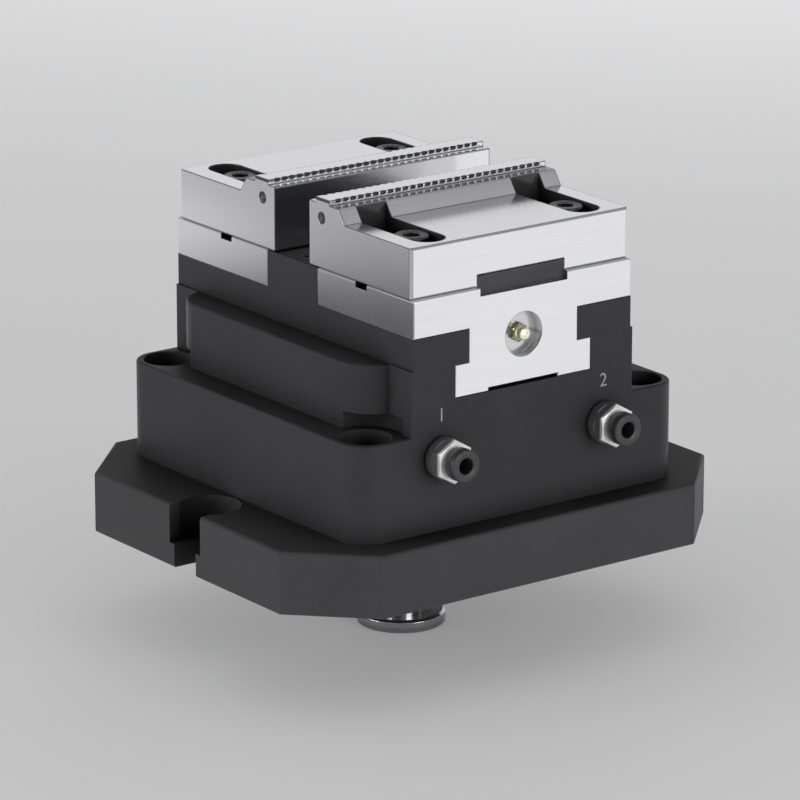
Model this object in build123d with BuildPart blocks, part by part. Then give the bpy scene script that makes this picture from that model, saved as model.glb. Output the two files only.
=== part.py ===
from build123d import *
import math
import os

# Self-centering pneumatic vise on its flange plate, jaws 100 mm wide.
# The origin is the centre of the plate's underside, on the pull stud's axis.
# X is the clamping direction, +X is the end with the two air fittings, and
# Y runs along the jaws. The jaws are drawn closed, with the piston down.

os.makedirs("parts", exist_ok=True)

# Fits
slide_gap = 0.05
thread_gap = 0.05
loose_gap = 0.1

# Base plate
plate_x = 174.0
plate_y = 199.0
plate_t = 24.0
plate_corner = 27.0
plate_top_r = 1.5
plate_break = 0.5
slot_centre = 88.5
slot_width = 14.0
slot_step_width = 20.0
slot_step_depth = 15.0
slot_spot_dia = 24.0

# Body
body_size = 150.0
body_corner_r = 11.0
skirt_h = 37.2
shoulder_y = 102.0
shoulder_h = 24.8
block_y = 100.0
block_h = 11.95
bridge_x = 31.8
bridge_h = 14.05
pad_x = 124.0
pad_y = 126.0
pad_corner_r = 16.0
body_edge_r = 1.0
mark_r = 1.0
mark_y = 43.6
mark_depth = 4.0
body_z = plate_t
skirt_top = body_z + skirt_h
shoulder_top = skirt_top + shoulder_h
block_top = shoulder_top + block_h
bridge_top = block_top + bridge_h

# T-shaped way and the base jaws that slide in it
way_z = 73.0
foot_width = 62.5
foot_h = 12.5
neck_width = 50.0
neck_h = 12.5
wing_h = 14.5
jaw_width = 100.0
jaw_inner_x = 16.0
base_jaw_length = 59.0
relief_width = 32.0
relief_depth = 1.2
foot_top = way_z + foot_h
neck_top = foot_top + neck_h
parting_z = neck_top + wing_h
jaw_outer_x = jaw_inner_x + base_jaw_length
jaw_break = 0.3
jaw_top_break = 0.8

# Top jaws
clamp_gap = 22.0
top_jaw_length = 62.0
top_jaw_h = 19.0
ledge_h = 24.5
rib_h = 26.5
front_ledge = 4.0
rib_width = 8.5
rear_ledge = 5.5
slope_run = 4.0
edge_break = 0.6
corner_break = 1.0
tooth_pitch = 3.4
tooth_count = 28
tooth_width = 2.6
tooth_depth = 1.0
tooth_height = 1.1
stop_hole_r = 2.1
stop_hole_depth = 10.0
stop_hole_inset = 7.7
clamp_x = clamp_gap / 2
top_jaw_end = clamp_x + top_jaw_length
top_jaw_z = parting_z + top_jaw_h
ledge_z = parting_z + ledge_h
rib_z = parting_z + rib_h
rib_front = clamp_x + front_ledge
rib_back = rib_front + rib_width
slope_top = rib_back + rear_ledge
slope_foot = slope_top + slope_run

# Top jaw screws and their long pockets
pocket_width = 13.4
pocket_end = 70.0
pocket_y = 35.5
jaw_screw_x = 54.0
jaw_screw_r = 4.0
jaw_screw_head_r = 6.5
jaw_screw_head_h = 8.0
jaw_screw_hex = 6.0
jaw_screw_sink = 0.8
jaw_screw_engaged = 12.5
pocket_floor = top_jaw_z - jaw_screw_sink - jaw_screw_head_h

# Keys between top jaw and base jaw
cross_key_x = 42.8
cross_key_width = 7.0
cross_key_h = 5.0
cross_key_length = 80.0
tenon_x = 49.0
tenon_width = 40.0
tenon_low = 3.1
tenon_high = 4.1
tenon_room = 0.4
tenon_screw_x = 61.0
tenon_screw_r = 2.5
tenon_screw_head_r = 4.25
tenon_screw_head_h = 4.5
tenon_screw_length = 14.0

# Grease nipple in the outer end of a base jaw
nipple_z = 92.0
nipple_bore_r = 8.5
nipple_bore_depth = 4.0
nipple_thread_r = 3.0
nipple_thread_length = 8.0
nipple_hex = 6.6
nipple_hex_h = 1.6
nipple_tip_r = 2.4
nipple_waist_r = 1.7
nipple_proud = 1.2
grease_hole_r = 0.7
grease_duct_r = 1.5
grease_duct_length = 30.0

# Wedge hook that drives both base jaws
stroke = 12.0
wedge_ratio = 0.25
wedge_z = 73.3
wedge_h = 21.7
wedge_half = 15.4
wedge_width = 40.0
hook_neck_width = 14.0
hook_neck_end = 25.0
hook_head_width = 24.0
hook_head_end = 30.0
hook_gap = 0.1
hook_start = 6.0
wedge_screw_r = 4.0
wedge_screw_head_r = 6.5
wedge_screw_head_h = 8.0
wedge_screw_length = 34.0
wedge_screw_sink = 0.5

# Cylinder
bore_r = 55.0
chamber_z = 35.0
piston_z = 35.2
piston_t = 13.0
chamber_top = piston_z + piston_t + stroke + 0.8
piston_gap = 0.08
rod_r = 14.0
seal_width = 4.0
seal_depth = 4.0
band_width = 3.0
band_depth = 1.5
air_relief = 1.5
rod_seal_z = 64.0
rod_seal_depth = 3.0
cover_r = 65.0
cover_flange = 6.0
cover_seal_z = 31.3
cover_seal_r = 2.4
cover_screw_circle = 59.5
cover_screw_count = 6
cover_screw_r = 2.5
cover_screw_head_r = 4.6
cover_screw_length = 14.0

# Cover between the base jaws, over the wedge hook
centre_cover_x = 30.8
centre_cover_y = 66.0
centre_cover_t = 4.0
centre_screw_x = 9.0
centre_screw_y = 27.0
centre_screw_r = 2.0
centre_screw_head_r = 3.9
centre_screw_length = 11.0

# Screws and dowels that hold the body on the plate
corner_screw_pos = 63.0
corner_pocket_r = 9.5
corner_pocket_depth = 21.2
corner_pocket_break = 0.4
corner_clear_r = 14.0
corner_clear_h = 6.3
corner_screw_r = 6.0
corner_screw_head_r = 9.0
corner_screw_head_h = 12.0
corner_screw_length = 30.0
corner_screw_hex = 10.0
dowel_x = 66.0
dowel_y = 38.0
dowel_r = 4.0
dowel_half = 9.0

# Air ports and push-in fittings
port_y = 37.5
port_z = 52.0
port_thread_r = 4.85
port_thread_depth = 10.0
port_duct_r = 2.5
port_duct_x = 59.0
duct_low_z = 36.3
duct_low_r = 1.2
plug_r = 3.0
plug_h = 5.0
washer_r = 8.0
washer_t = 1.4
washer_hole_r = 5.0
collar_r = 7.8
collar_t = 2.6
fitting_hex = 14.5
fitting_hex_t = 4.8
fitting_shank = 9.0
socket_r = 4.3
socket_depth = 8.9
tube_r = 3.05
tube_stop_depth = 12.0
fitting_duct_r = 2.0
ring_r = 6.2
ring_flange = 4.8
ring_sleeve = 7.4
ring_travel = 1.2
ring_gap = ring_travel + 0.3
ring_hole_r = 3.1
tube_seal_t = 1.5

# Pull stud
stud_r = 17.0
stud_length = 38.8
stud_collar_h = 5.0
stud_neck_r = 8.0
stud_boss_h = 15.0
stud_break = 1.0
stud_nose_break = 0.3
stud_flange_r = 17.5
stud_flange_h = 4.0
stud_thread_r = 8.0
stud_thread_end = 20.0
stud_hex = 10.0
stud_hex_depth = 8.0


def hexagon(across_flats, turn=0):
    """Hexagon sketch given its size across the flats."""
    RegularPolygon(radius=across_flats / math.sqrt(3), side_count=6, rotation=turn)


def hex_collar(across_flats, thickness, turn):
    """Hexagon block rising from the current plane, its front corners chamfered."""
    corner = across_flats / math.sqrt(3)
    bevel = corner - across_flats / 2 + 0.25
    with BuildPart(mode=Mode.PRIVATE) as block:
        with BuildSketch(Plane.XZ):
            with BuildLine():
                Polyline(
                    (0, 0),
                    (corner, 0),
                    (corner, thickness - bevel * math.tan(math.radians(30))),
                    (corner - bevel, thickness),
                    (0, thickness),
                    close=True,
                )
            make_face()
        revolve(axis=Axis.Z)
        with BuildSketch(Plane.XY):
            hexagon(across_flats, turn)
        extrude(amount=thickness, mode=Mode.INTERSECT)
    add(block.part)


def socket_screw(shank_r, head_r, head_h, length, hex_size):
    """Socket-head screw standing on the current location, head upwards."""
    with BuildPart(mode=Mode.PRIVATE) as screw:
        Cylinder(shank_r, length, align=(Align.CENTER, Align.CENTER, Align.MAX))
        Cylinder(head_r, head_h, align=(Align.CENTER, Align.CENTER, Align.MIN))
        chamfer(screw.faces().sort_by(Axis.Z)[-1].edges(), head_r * 0.08)
        with BuildSketch(Plane.XY.offset(head_h)):
            hexagon(hex_size)
        extrude(amount=-head_h * 0.55, mode=Mode.SUBTRACT)
    add(screw.part)


def flat_screw(shank_r, head_r, length, hex_size):
    """Countersunk screw hanging from the current location, head flush with it."""
    cone = head_r - shank_r
    with BuildPart(mode=Mode.PRIVATE) as screw:
        Cylinder(shank_r, length, align=(Align.CENTER, Align.CENTER, Align.MAX))
        Cone(shank_r, head_r, cone, align=(Align.CENTER, Align.CENTER, Align.MAX))
        with BuildSketch(Plane.XY):
            hexagon(hex_size)
        extrude(amount=-cone * 0.8, mode=Mode.SUBTRACT)
    add(screw.part)


def edge_slots(width):
    """Outline of the slots open to the plate's two long sides."""
    run = plate_y / 2 - slot_centre + 1
    for side in (-1, 1):
        with Locations((0, side * slot_centre)):
            Circle(width / 2)
        with Locations((0, side * (slot_centre + run / 2))):
            Rectangle(width, run)


def slanted(x_in, x_out, z_low, z_high):
    """Band that leans inwards as it rises, at the wedge hook's slope."""
    lean_low = wedge_ratio * (z_low - wedge_z)
    lean_high = wedge_ratio * (z_high - wedge_z)
    Polygon(
        (x_in - lean_low, z_low),
        (x_out - lean_low, z_low),
        (x_out - lean_high, z_high),
        (x_in - lean_high, z_high),
        align=None,
    )


def box_between(x_pair, y_pair, z_pair, mode=Mode.ADD):
    """Block given by its lowest and highest x, y and z."""
    centre = tuple((low + high) / 2 for low, high in (x_pair, y_pair, z_pair))
    size = [high - low for low, high in (x_pair, y_pair, z_pair)]
    with Locations(centre):
        Box(*size, mode=mode)


corner_points = [(sx * corner_screw_pos, sy * corner_screw_pos) for sx in (-1, 1) for sy in (-1, 1)]
dowel_points = [(dowel_x, -dowel_y), (-dowel_x, dowel_y)]

# Base plate: clipped corners, a stepped open slot in each long side, threaded
# corner holes for the body screws and a threaded centre for the pull stud
with BuildPart() as base_plate:
    with BuildSketch() as plate_plan:
        Rectangle(plate_x, plate_y)
        chamfer(plate_plan.vertices(), plate_corner)
    extrude(amount=plate_t)
    fillet(base_plate.faces().sort_by(Axis.Z)[-1].edges(), plate_top_r)
    chamfer(base_plate.faces().sort_by(Axis.Z)[0].edges(), plate_break)
    with BuildSketch():
        edge_slots(slot_width)
    extrude(amount=plate_t, mode=Mode.SUBTRACT)
    with BuildSketch(Plane.XY.offset(plate_t)):
        edge_slots(slot_step_width)
        with Locations((0, slot_centre), (0, -slot_centre)):
            Circle(slot_spot_dia / 2)
    extrude(amount=-slot_step_depth, mode=Mode.SUBTRACT)
    with Locations((0, 0, plate_t)):
        Hole(stud_thread_r)
    with BuildSketch():
        Circle(stud_flange_r + thread_gap)
    extrude(amount=stud_flange_h, mode=Mode.SUBTRACT)
    with Locations(*[(x, y, plate_t) for x, y in corner_points]):
        Hole(corner_screw_r + thread_gap)
    with Locations(*[(x, y, plate_t) for x, y in dowel_points]):
        Hole(dowel_r, depth=dowel_half)
base_plate.part.label = "base_plate"
export_step(base_plate.part, "parts/base_plate.step")

# Vise body: square skirt, side pads, shoulder, block and bridge, then the
# T-shaped way, the cylinder from below and the drilled air ducts
with BuildPart() as vise_body:
    with BuildSketch(Plane.XY.offset(body_z)):
        RectangleRounded(body_size, body_size, body_corner_r)
    extrude(amount=skirt_h)
    fillet(vise_body.faces().sort_by(Axis.Z)[-1].edges(), body_edge_r)
    with BuildSketch(Plane.XY.offset(body_z)):
        RectangleRounded(pad_x, pad_y, pad_corner_r)
    extrude(amount=shoulder_top - body_z)
    fillet(vise_body.faces().sort_by(Axis.Z)[-1].edges(), body_edge_r)
    with BuildSketch(Plane.XY.offset(body_z)):
        Rectangle(body_size, shoulder_y)
    extrude(amount=shoulder_top - body_z)
    with BuildSketch(Plane.XY.offset(shoulder_top)):
        Rectangle(body_size, block_y)
    extrude(amount=block_h)
    with BuildSketch(Plane.XY.offset(block_top)):
        Rectangle(bridge_x, block_y)
    extrude(amount=bridge_h)
    with BuildSketch(Plane.YZ):
        with Locations((0, way_z - slide_gap)):
            Rectangle(
                foot_width + 2 * slide_gap,
                foot_h + 2 * slide_gap,
                align=(Align.CENTER, Align.MIN),
            )
        with Locations((0, foot_top)):
            Rectangle(
                neck_width + 2 * slide_gap,
                bridge_top - foot_top + 1,
                align=(Align.CENTER, Align.MIN),
            )
    extrude(amount=body_size / 2 + 1, both=True, mode=Mode.SUBTRACT)
    box_between(
        (-bridge_x / 2 - 1, bridge_x / 2 + 1),
        (-centre_cover_y / 2 - loose_gap, centre_cover_y / 2 + loose_gap),
        (bridge_top - centre_cover_t, bridge_top + 1),
        mode=Mode.SUBTRACT,
    )
    for side_x in (-1, 1):
        for side_y in (-1, 1):
            with Locations((side_x * centre_screw_x, side_y * centre_screw_y, bridge_top)):
                Hole(centre_screw_r + thread_gap, depth=centre_screw_length + 1)
    with Locations((0, mark_y, bridge_top), (0, -mark_y, bridge_top)):
        Hole(mark_r, depth=mark_depth)
    with Locations(*[(x, y, skirt_top) for x, y in corner_points]):
        Cylinder(
            corner_clear_r,
            corner_clear_h,
            align=(Align.CENTER, Align.CENTER, Align.MIN),
            mode=Mode.SUBTRACT,
        )
        Cylinder(
            corner_pocket_r,
            corner_pocket_depth,
            align=(Align.CENTER, Align.CENTER, Align.MAX),
            mode=Mode.SUBTRACT,
        )
        Hole(corner_screw_r + 0.5)
    pocket_rims = vise_body.edges().filter_by(GeomType.CIRCLE)
    pocket_rims = pocket_rims.filter_by(lambda rim: abs(rim.radius - corner_pocket_r) < 0.01)
    chamfer(pocket_rims.group_by(Axis.Z)[-1], corner_pocket_break)
    with BuildSketch(Plane.XY.offset(body_z)):
        Circle(cover_r)
    extrude(amount=cover_flange, mode=Mode.SUBTRACT)
    with BuildSketch(Plane.XY.offset(body_z)):
        Circle(bore_r)
    extrude(amount=chamber_top - body_z, mode=Mode.SUBTRACT)
    with BuildSketch(Plane.XY.offset(chamber_top)):
        Circle(rod_r + piston_gap)
    extrude(amount=way_z - chamber_top, mode=Mode.SUBTRACT)
    with BuildSketch(Plane.XY.offset(rod_seal_z)):
        Circle(rod_r + rod_seal_depth)
    extrude(amount=seal_width, mode=Mode.SUBTRACT)
    with Locations((0, 0, body_z + cover_flange)):
        with PolarLocations(cover_screw_circle, cover_screw_count, start_angle=30):
            Cylinder(
                cover_screw_r + thread_gap,
                cover_screw_length,
                align=(Align.CENTER, Align.CENTER, Align.MIN),
                mode=Mode.SUBTRACT,
            )
    for x, y in dowel_points:
        with Locations((x, y, body_z)):
            Cylinder(
                dowel_r,
                dowel_half,
                align=(Align.CENTER, Align.CENTER, Align.MIN),
                mode=Mode.SUBTRACT,
            )
    with BuildSketch(Plane.YZ.offset(body_size / 2)):
        with Locations((-port_y, port_z), (port_y, port_z)):
            Circle(port_thread_r + thread_gap)
    extrude(amount=-port_thread_depth, mode=Mode.SUBTRACT)
    with BuildSketch(Plane.YZ.offset(body_size / 2 - port_thread_depth)):
        with Locations((-port_y, port_z)):
            Circle(port_duct_r)
    extrude(amount=-(body_size / 2 - port_thread_depth - port_y), mode=Mode.SUBTRACT)
    with BuildSketch(Plane.YZ.offset(body_size / 2 - port_thread_depth)):
        with Locations((port_y, port_z)):
            Circle(port_duct_r)
    extrude(
        amount=port_duct_x - port_duct_r - (body_size / 2 - port_thread_depth),
        mode=Mode.SUBTRACT,
    )
    with BuildSketch(Plane.XY.offset(body_z)):
        with Locations((port_duct_x, port_y)):
            Circle(port_duct_r)
    extrude(amount=port_z - body_z, mode=Mode.SUBTRACT)
    with BuildSketch(Plane.XY.offset(body_z)):
        with Locations((port_duct_x, port_y)):
            Circle(plug_r + thread_gap)
    extrude(amount=plug_h + 1, mode=Mode.SUBTRACT)
    with BuildSketch(Plane.YZ.offset(port_duct_x)):
        with Locations((port_y, duct_low_z)):
            Circle(duct_low_r)
    extrude(amount=-(port_duct_x - port_y), mode=Mode.SUBTRACT)
vise_body.part.label = "vise_body"
export_step(vise_body.part, "parts/vise_body.step")

# Cylinder cover: flange let into the body's underside, boss with a seal groove
cover_boss_r = bore_r - piston_gap
with BuildPart() as bottom_cover:
    with BuildSketch(Plane.XY.offset(body_z)):
        Circle(cover_r - loose_gap)
    extrude(amount=cover_flange)
    with BuildSketch(Plane.XY.offset(body_z + cover_flange)):
        Circle(cover_boss_r)
    extrude(amount=chamber_z - body_z - cover_flange)
    with BuildSketch(Plane.XY.offset(cover_seal_z)):
        Circle(cover_boss_r)
        Circle(cover_boss_r - cover_seal_r, mode=Mode.SUBTRACT)
    extrude(amount=cover_seal_r, mode=Mode.SUBTRACT)
    with Locations(Plane(origin=(0, 0, body_z), z_dir=(0, 0, -1))):
        with PolarLocations(cover_screw_circle, cover_screw_count, start_angle=30):
            CounterSinkHole(
                cover_screw_r + loose_gap,
                cover_screw_head_r + loose_gap,
                counter_sink_angle=90,
            )
bottom_cover.part.label = "bottom_cover"
export_step(bottom_cover.part, "parts/bottom_cover.step")

with BuildPart() as cover_seal:
    with BuildSketch(Plane.XY.offset(cover_seal_z)):
        Circle(bore_r)
        Circle(cover_boss_r - cover_seal_r, mode=Mode.SUBTRACT)
    extrude(amount=cover_seal_r)
cover_seal.part.label = "cover_seal"
export_step(cover_seal.part, "parts/cover_seal.step")

with BuildPart() as cover_screws:
    with Locations(Plane(origin=(0, 0, body_z), z_dir=(0, 0, -1))):
        with PolarLocations(cover_screw_circle, cover_screw_count, start_angle=30):
            flat_screw(cover_screw_r, cover_screw_head_r, cover_screw_length, 3.0)
cover_screws.part.label = "cover_screws"
export_step(cover_screws.part, "parts/cover_screws.step")

# Piston and rod in one piece, with grooves for the seal and the guide band
piston_r = bore_r - piston_gap
seal_z = piston_z + 2.5
band_z = piston_z + piston_t - band_width - 1.5
rod_top = wedge_z
with BuildPart() as piston:
    with BuildSketch(Plane.XZ):
        with BuildLine():
            Polyline(
                (0, piston_z),
                (piston_r - air_relief, piston_z),
                (piston_r, piston_z + air_relief),
                (piston_r, seal_z),
                (piston_r - seal_depth, seal_z),
                (piston_r - seal_depth, seal_z + seal_width),
                (piston_r, seal_z + seal_width),
                (piston_r, band_z),
                (piston_r - band_depth, band_z),
                (piston_r - band_depth, band_z + band_width),
                (piston_r, band_z + band_width),
                (piston_r, piston_z + piston_t),
                (rod_r, piston_z + piston_t),
                (rod_r, rod_top),
                (0, rod_top),
                close=True,
            )
        make_face()
    revolve(axis=Axis.Z)
    with Locations((0, 0, rod_top)):
        Hole(wedge_screw_r + thread_gap, depth=wedge_screw_length - 8)
piston.part.label = "piston"
export_step(piston.part, "parts/piston.step")

with BuildPart() as piston_seal:
    with BuildSketch(Plane.XY.offset(seal_z)):
        Circle(piston_r)
        Circle(piston_r - seal_depth, mode=Mode.SUBTRACT)
    extrude(amount=seal_width)
piston_seal.part.label = "piston_seal"
export_step(piston_seal.part, "parts/piston_seal.step")

with BuildPart() as guide_band:
    with BuildSketch(Plane.XY.offset(band_z)):
        Circle(piston_r)
        Circle(piston_r - band_depth, mode=Mode.SUBTRACT)
    extrude(amount=band_width)
guide_band.part.label = "guide_band"
export_step(guide_band.part, "parts/guide_band.step")

with BuildPart() as rod_seal:
    with BuildSketch(Plane.XY.offset(rod_seal_z)):
        Circle(rod_r + rod_seal_depth)
        Circle(rod_r + piston_gap, mode=Mode.SUBTRACT)
    extrude(amount=seal_width)
rod_seal.part.label = "rod_seal"
export_step(rod_seal.part, "parts/rod_seal.step")

# Wedge hook: its two faces and its T-shaped hooks lean inwards as they rise,
# so lifting it pushes both base jaws outwards by a quarter of its travel
with BuildPart() as wedge_hook:
    for side in (-1, 1):
        with BuildPart(mode=Mode.PRIVATE) as half_wedge:
            with BuildSketch(Plane.XZ):
                with BuildLine():
                    Polyline(
                        (0, wedge_z),
                        (wedge_half, wedge_z),
                        (wedge_half - wedge_ratio * wedge_h, wedge_z + wedge_h),
                        (0, wedge_z + wedge_h),
                        close=True,
                    )
                make_face()
            extrude(amount=wedge_width / 2, both=True)
            with BuildSketch(Plane.XZ):
                slanted(hook_start, hook_neck_end, wedge_z, wedge_z + wedge_h)
            extrude(amount=hook_neck_width / 2, both=True)
            with BuildSketch(Plane.XZ):
                slanted(hook_neck_end, hook_head_end, wedge_z, wedge_z + wedge_h)
            extrude(amount=hook_head_width / 2, both=True)
        if side > 0:
            add(half_wedge.part)
        else:
            mirror(half_wedge.part, about=Plane.YZ)
    with Locations((0, 0, wedge_z + wedge_h)):
        CounterBoreHole(
            wedge_screw_r + 0.5,
            wedge_screw_head_r + 0.3,
            wedge_screw_head_h + wedge_screw_sink,
        )
wedge_hook.part.label = "wedge_hook"
export_step(wedge_hook.part, "parts/wedge_hook.step")

with BuildPart() as wedge_screw:
    with Locations((0, 0, wedge_z + wedge_h - wedge_screw_head_h - wedge_screw_sink)):
        socket_screw(wedge_screw_r, wedge_screw_head_r, wedge_screw_head_h, wedge_screw_length, 6.0)
wedge_screw.part.label = "wedge_screw"
export_step(wedge_screw.part, "parts/wedge_screw.step")

# Cover over the wedge hook, let into the top of the bridge
centre_points = [
    (sx * centre_screw_x, sy * centre_screw_y, bridge_top) for sx in (-1, 1) for sy in (-1, 1)
]
with BuildPart() as centre_cover:
    box_between(
        (-centre_cover_x / 2, centre_cover_x / 2),
        (-centre_cover_y / 2, centre_cover_y / 2),
        (bridge_top - centre_cover_t, bridge_top),
    )
    with Locations(*centre_points):
        CounterSinkHole(
            centre_screw_r + loose_gap,
            centre_screw_head_r + loose_gap,
            counter_sink_angle=90,
        )
centre_cover.part.label = "centre_cover"
export_step(centre_cover.part, "parts/centre_cover.step")

with BuildPart() as centre_cover_screws:
    with Locations(*centre_points):
        flat_screw(centre_screw_r, centre_screw_head_r, centre_screw_length, 2.5)
centre_cover_screws.part.label = "centre_cover_screws"
export_step(centre_cover_screws.part, "parts/centre_cover_screws.step")

# Right base jaw: T section, slanted T-slot for the wedge hook in its inner
# end, grooves for the two keys on top and the nipple's bore in its outer end
with BuildPart() as base_jaw_right:
    with BuildSketch(Plane.YZ.offset(jaw_inner_x)) as jaw_section:
        with Locations((0, way_z)):
            Rectangle(foot_width, foot_h, align=(Align.CENTER, Align.MIN))
        with Locations((0, foot_top)):
            Rectangle(neck_width, neck_h, align=(Align.CENTER, Align.MIN))
        with Locations((0, neck_top)):
            Rectangle(jaw_width, wing_h, align=(Align.CENTER, Align.MIN))
        chamfer(jaw_section.vertices().group_by(Axis.Y)[-1], jaw_top_break)
    extrude(amount=base_jaw_length)
    box_between(
        (jaw_inner_x - 1, jaw_outer_x + 1),
        (-relief_width / 2, relief_width / 2),
        (way_z - 1, way_z + relief_depth),
        mode=Mode.SUBTRACT,
    )
    chamfer(base_jaw_right.faces().sort_by(Axis.X)[-1].outer_wire().edges(), jaw_break)
    with BuildSketch(Plane.XZ):
        slanted(0, hook_neck_end, way_z - 1, parting_z + 1)
    extrude(amount=hook_neck_width / 2 + hook_gap, both=True, mode=Mode.SUBTRACT)
    with BuildSketch(Plane.XZ):
        slanted(hook_neck_end - hook_gap, hook_head_end + hook_gap, way_z - 1, parting_z + 1)
    extrude(amount=hook_head_width / 2 + hook_gap, both=True, mode=Mode.SUBTRACT)
    box_between(
        (cross_key_x - cross_key_width / 2, cross_key_x + cross_key_width / 2),
        (-jaw_width / 2 - 1, jaw_width / 2 + 1),
        (parting_z - cross_key_h / 2, parting_z + 1),
        mode=Mode.SUBTRACT,
    )
    box_between(
        (tenon_x, jaw_outer_x + 1),
        (-tenon_width / 2, tenon_width / 2),
        (parting_z - tenon_low, parting_z + 1),
        mode=Mode.SUBTRACT,
    )
    with Locations((jaw_screw_x, pocket_y, parting_z), (jaw_screw_x, -pocket_y, parting_z)):
        Hole(jaw_screw_r + thread_gap, depth=wing_h)
    with Locations((tenon_screw_x, 0, parting_z)):
        Hole(tenon_screw_r + thread_gap, depth=tenon_screw_length + 1)
    with Locations(Plane(origin=(jaw_outer_x, 0, nipple_z), z_dir=(1, 0, 0))):
        CounterBoreHole(
            nipple_thread_r + thread_gap,
            nipple_bore_r,
            nipple_bore_depth,
            depth=nipple_bore_depth + nipple_thread_length + 1,
        )
        Hole(grease_duct_r, depth=grease_duct_length)
base_jaw_right.part.label = "base_jaw_right"
export_step(base_jaw_right.part, "parts/base_jaw_right.step")

# Right top jaw: a rib between two ledges, its top edges notched into teeth,
# then a slope down to the flat with two long screw pockets
with BuildPart() as top_jaw_right:
    with BuildSketch(Plane.XZ):
        with BuildLine():
            Polyline(
                (clamp_x, parting_z),
                (top_jaw_end, parting_z),
                (top_jaw_end, top_jaw_z - edge_break),
                (top_jaw_end - edge_break, top_jaw_z),
                (slope_foot, top_jaw_z),
                (slope_top + edge_break, ledge_z - edge_break),
                (slope_top - edge_break / 2, ledge_z),
                (rib_back, ledge_z),
                (rib_back, rib_z),
                (rib_front, rib_z),
                (rib_front, ledge_z),
                (clamp_x + edge_break / 2, ledge_z),
                (clamp_x, ledge_z - edge_break / 2),
                close=True,
            )
        make_face()
    extrude(amount=jaw_width / 2, both=True)
    chamfer(top_jaw_right.edges().filter_by(Axis.Z).group_by(Axis.X)[-1], corner_break)
    with BuildSketch(Plane.XY.offset(rib_z - tooth_height)):
        with Locations((rib_front, 0)):
            with GridLocations(1, tooth_pitch, 1, tooth_count):
                Polygon((-1, -tooth_width / 2), (0, -tooth_width / 2), (tooth_depth, 0),
                        (0, tooth_width / 2), (-1, tooth_width / 2), align=None)
        with Locations((rib_back, 0)):
            with GridLocations(1, tooth_pitch, 1, tooth_count):
                Polygon((1, -tooth_width / 2), (1, tooth_width / 2), (0, tooth_width / 2),
                        (-tooth_depth, 0), (0, -tooth_width / 2), align=None)
    extrude(amount=tooth_height + 1, mode=Mode.SUBTRACT)
    with BuildSketch(Plane.XY.offset(pocket_floor)):
        for side in (-1, 1):
            with Locations((pocket_end - pocket_width / 2, side * pocket_y)):
                Circle(pocket_width / 2)
                Rectangle(
                    pocket_end - pocket_width / 2 - slope_top,
                    pocket_width,
                    align=(Align.MAX, Align.CENTER),
                )
    extrude(amount=rib_z - pocket_floor, mode=Mode.SUBTRACT)
    with Locations((jaw_screw_x, pocket_y, pocket_floor), (jaw_screw_x, -pocket_y, pocket_floor)):
        Hole(jaw_screw_r + 0.5)
    box_between(
        (cross_key_x - cross_key_width / 2, cross_key_x + cross_key_width / 2),
        (-cross_key_length / 2, cross_key_length / 2),
        (parting_z - 1, parting_z + cross_key_h / 2),
        mode=Mode.SUBTRACT,
    )
    box_between(
        (tenon_x, top_jaw_end + 1),
        (-tenon_width / 2, tenon_width / 2),
        (parting_z - 1, parting_z + tenon_high + tenon_room),
        mode=Mode.SUBTRACT,
    )
    for side in (-1, 1):
        mouth = (clamp_x + stop_hole_inset, side * jaw_width / 2, top_jaw_z)
        with Locations(Plane(origin=mouth, z_dir=(0, side, 0))):
            Hole(stop_hole_r, depth=stop_hole_depth)
top_jaw_right.part.label = "top_jaw_right"
export_step(top_jaw_right.part, "parts/top_jaw_right.step")

with BuildPart() as jaw_screws_right:
    with Locations((jaw_screw_x, pocket_y, pocket_floor), (jaw_screw_x, -pocket_y, pocket_floor)):
        socket_screw(
            jaw_screw_r,
            jaw_screw_head_r,
            jaw_screw_head_h,
            pocket_floor - parting_z + jaw_screw_engaged,
            jaw_screw_hex,
        )
jaw_screws_right.part.label = "jaw_screws_right"
export_step(jaw_screws_right.part, "parts/jaw_screws_right.step")

with BuildPart() as cross_key_right:
    box_between(
        (cross_key_x - cross_key_width / 2, cross_key_x + cross_key_width / 2),
        (-cross_key_length / 2, cross_key_length / 2),
        (parting_z - cross_key_h / 2, parting_z + cross_key_h / 2),
    )
cross_key_right.part.label = "cross_key_right"
export_step(cross_key_right.part, "parts/cross_key_right.step")

with BuildPart() as tenon_key_right:
    box_between(
        (tenon_x, top_jaw_end),
        (-tenon_width / 2, tenon_width / 2),
        (parting_z - tenon_low, parting_z + tenon_high),
    )
    with Locations((tenon_screw_x, 0, parting_z + tenon_high)):
        CounterBoreHole(tenon_screw_r + 0.3, tenon_screw_head_r + 0.3, tenon_screw_head_h)
tenon_key_right.part.label = "tenon_key_right"
export_step(tenon_key_right.part, "parts/tenon_key_right.step")

with BuildPart() as tenon_screw_right:
    with Locations((tenon_screw_x, 0, parting_z + tenon_high - tenon_screw_head_h)):
        socket_screw(
            tenon_screw_r,
            tenon_screw_head_r,
            tenon_screw_head_h,
            tenon_screw_length,
            4.0,
        )
tenon_screw_right.part.label = "tenon_screw_right"
export_step(tenon_screw_right.part, "parts/tenon_screw_right.step")

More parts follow.
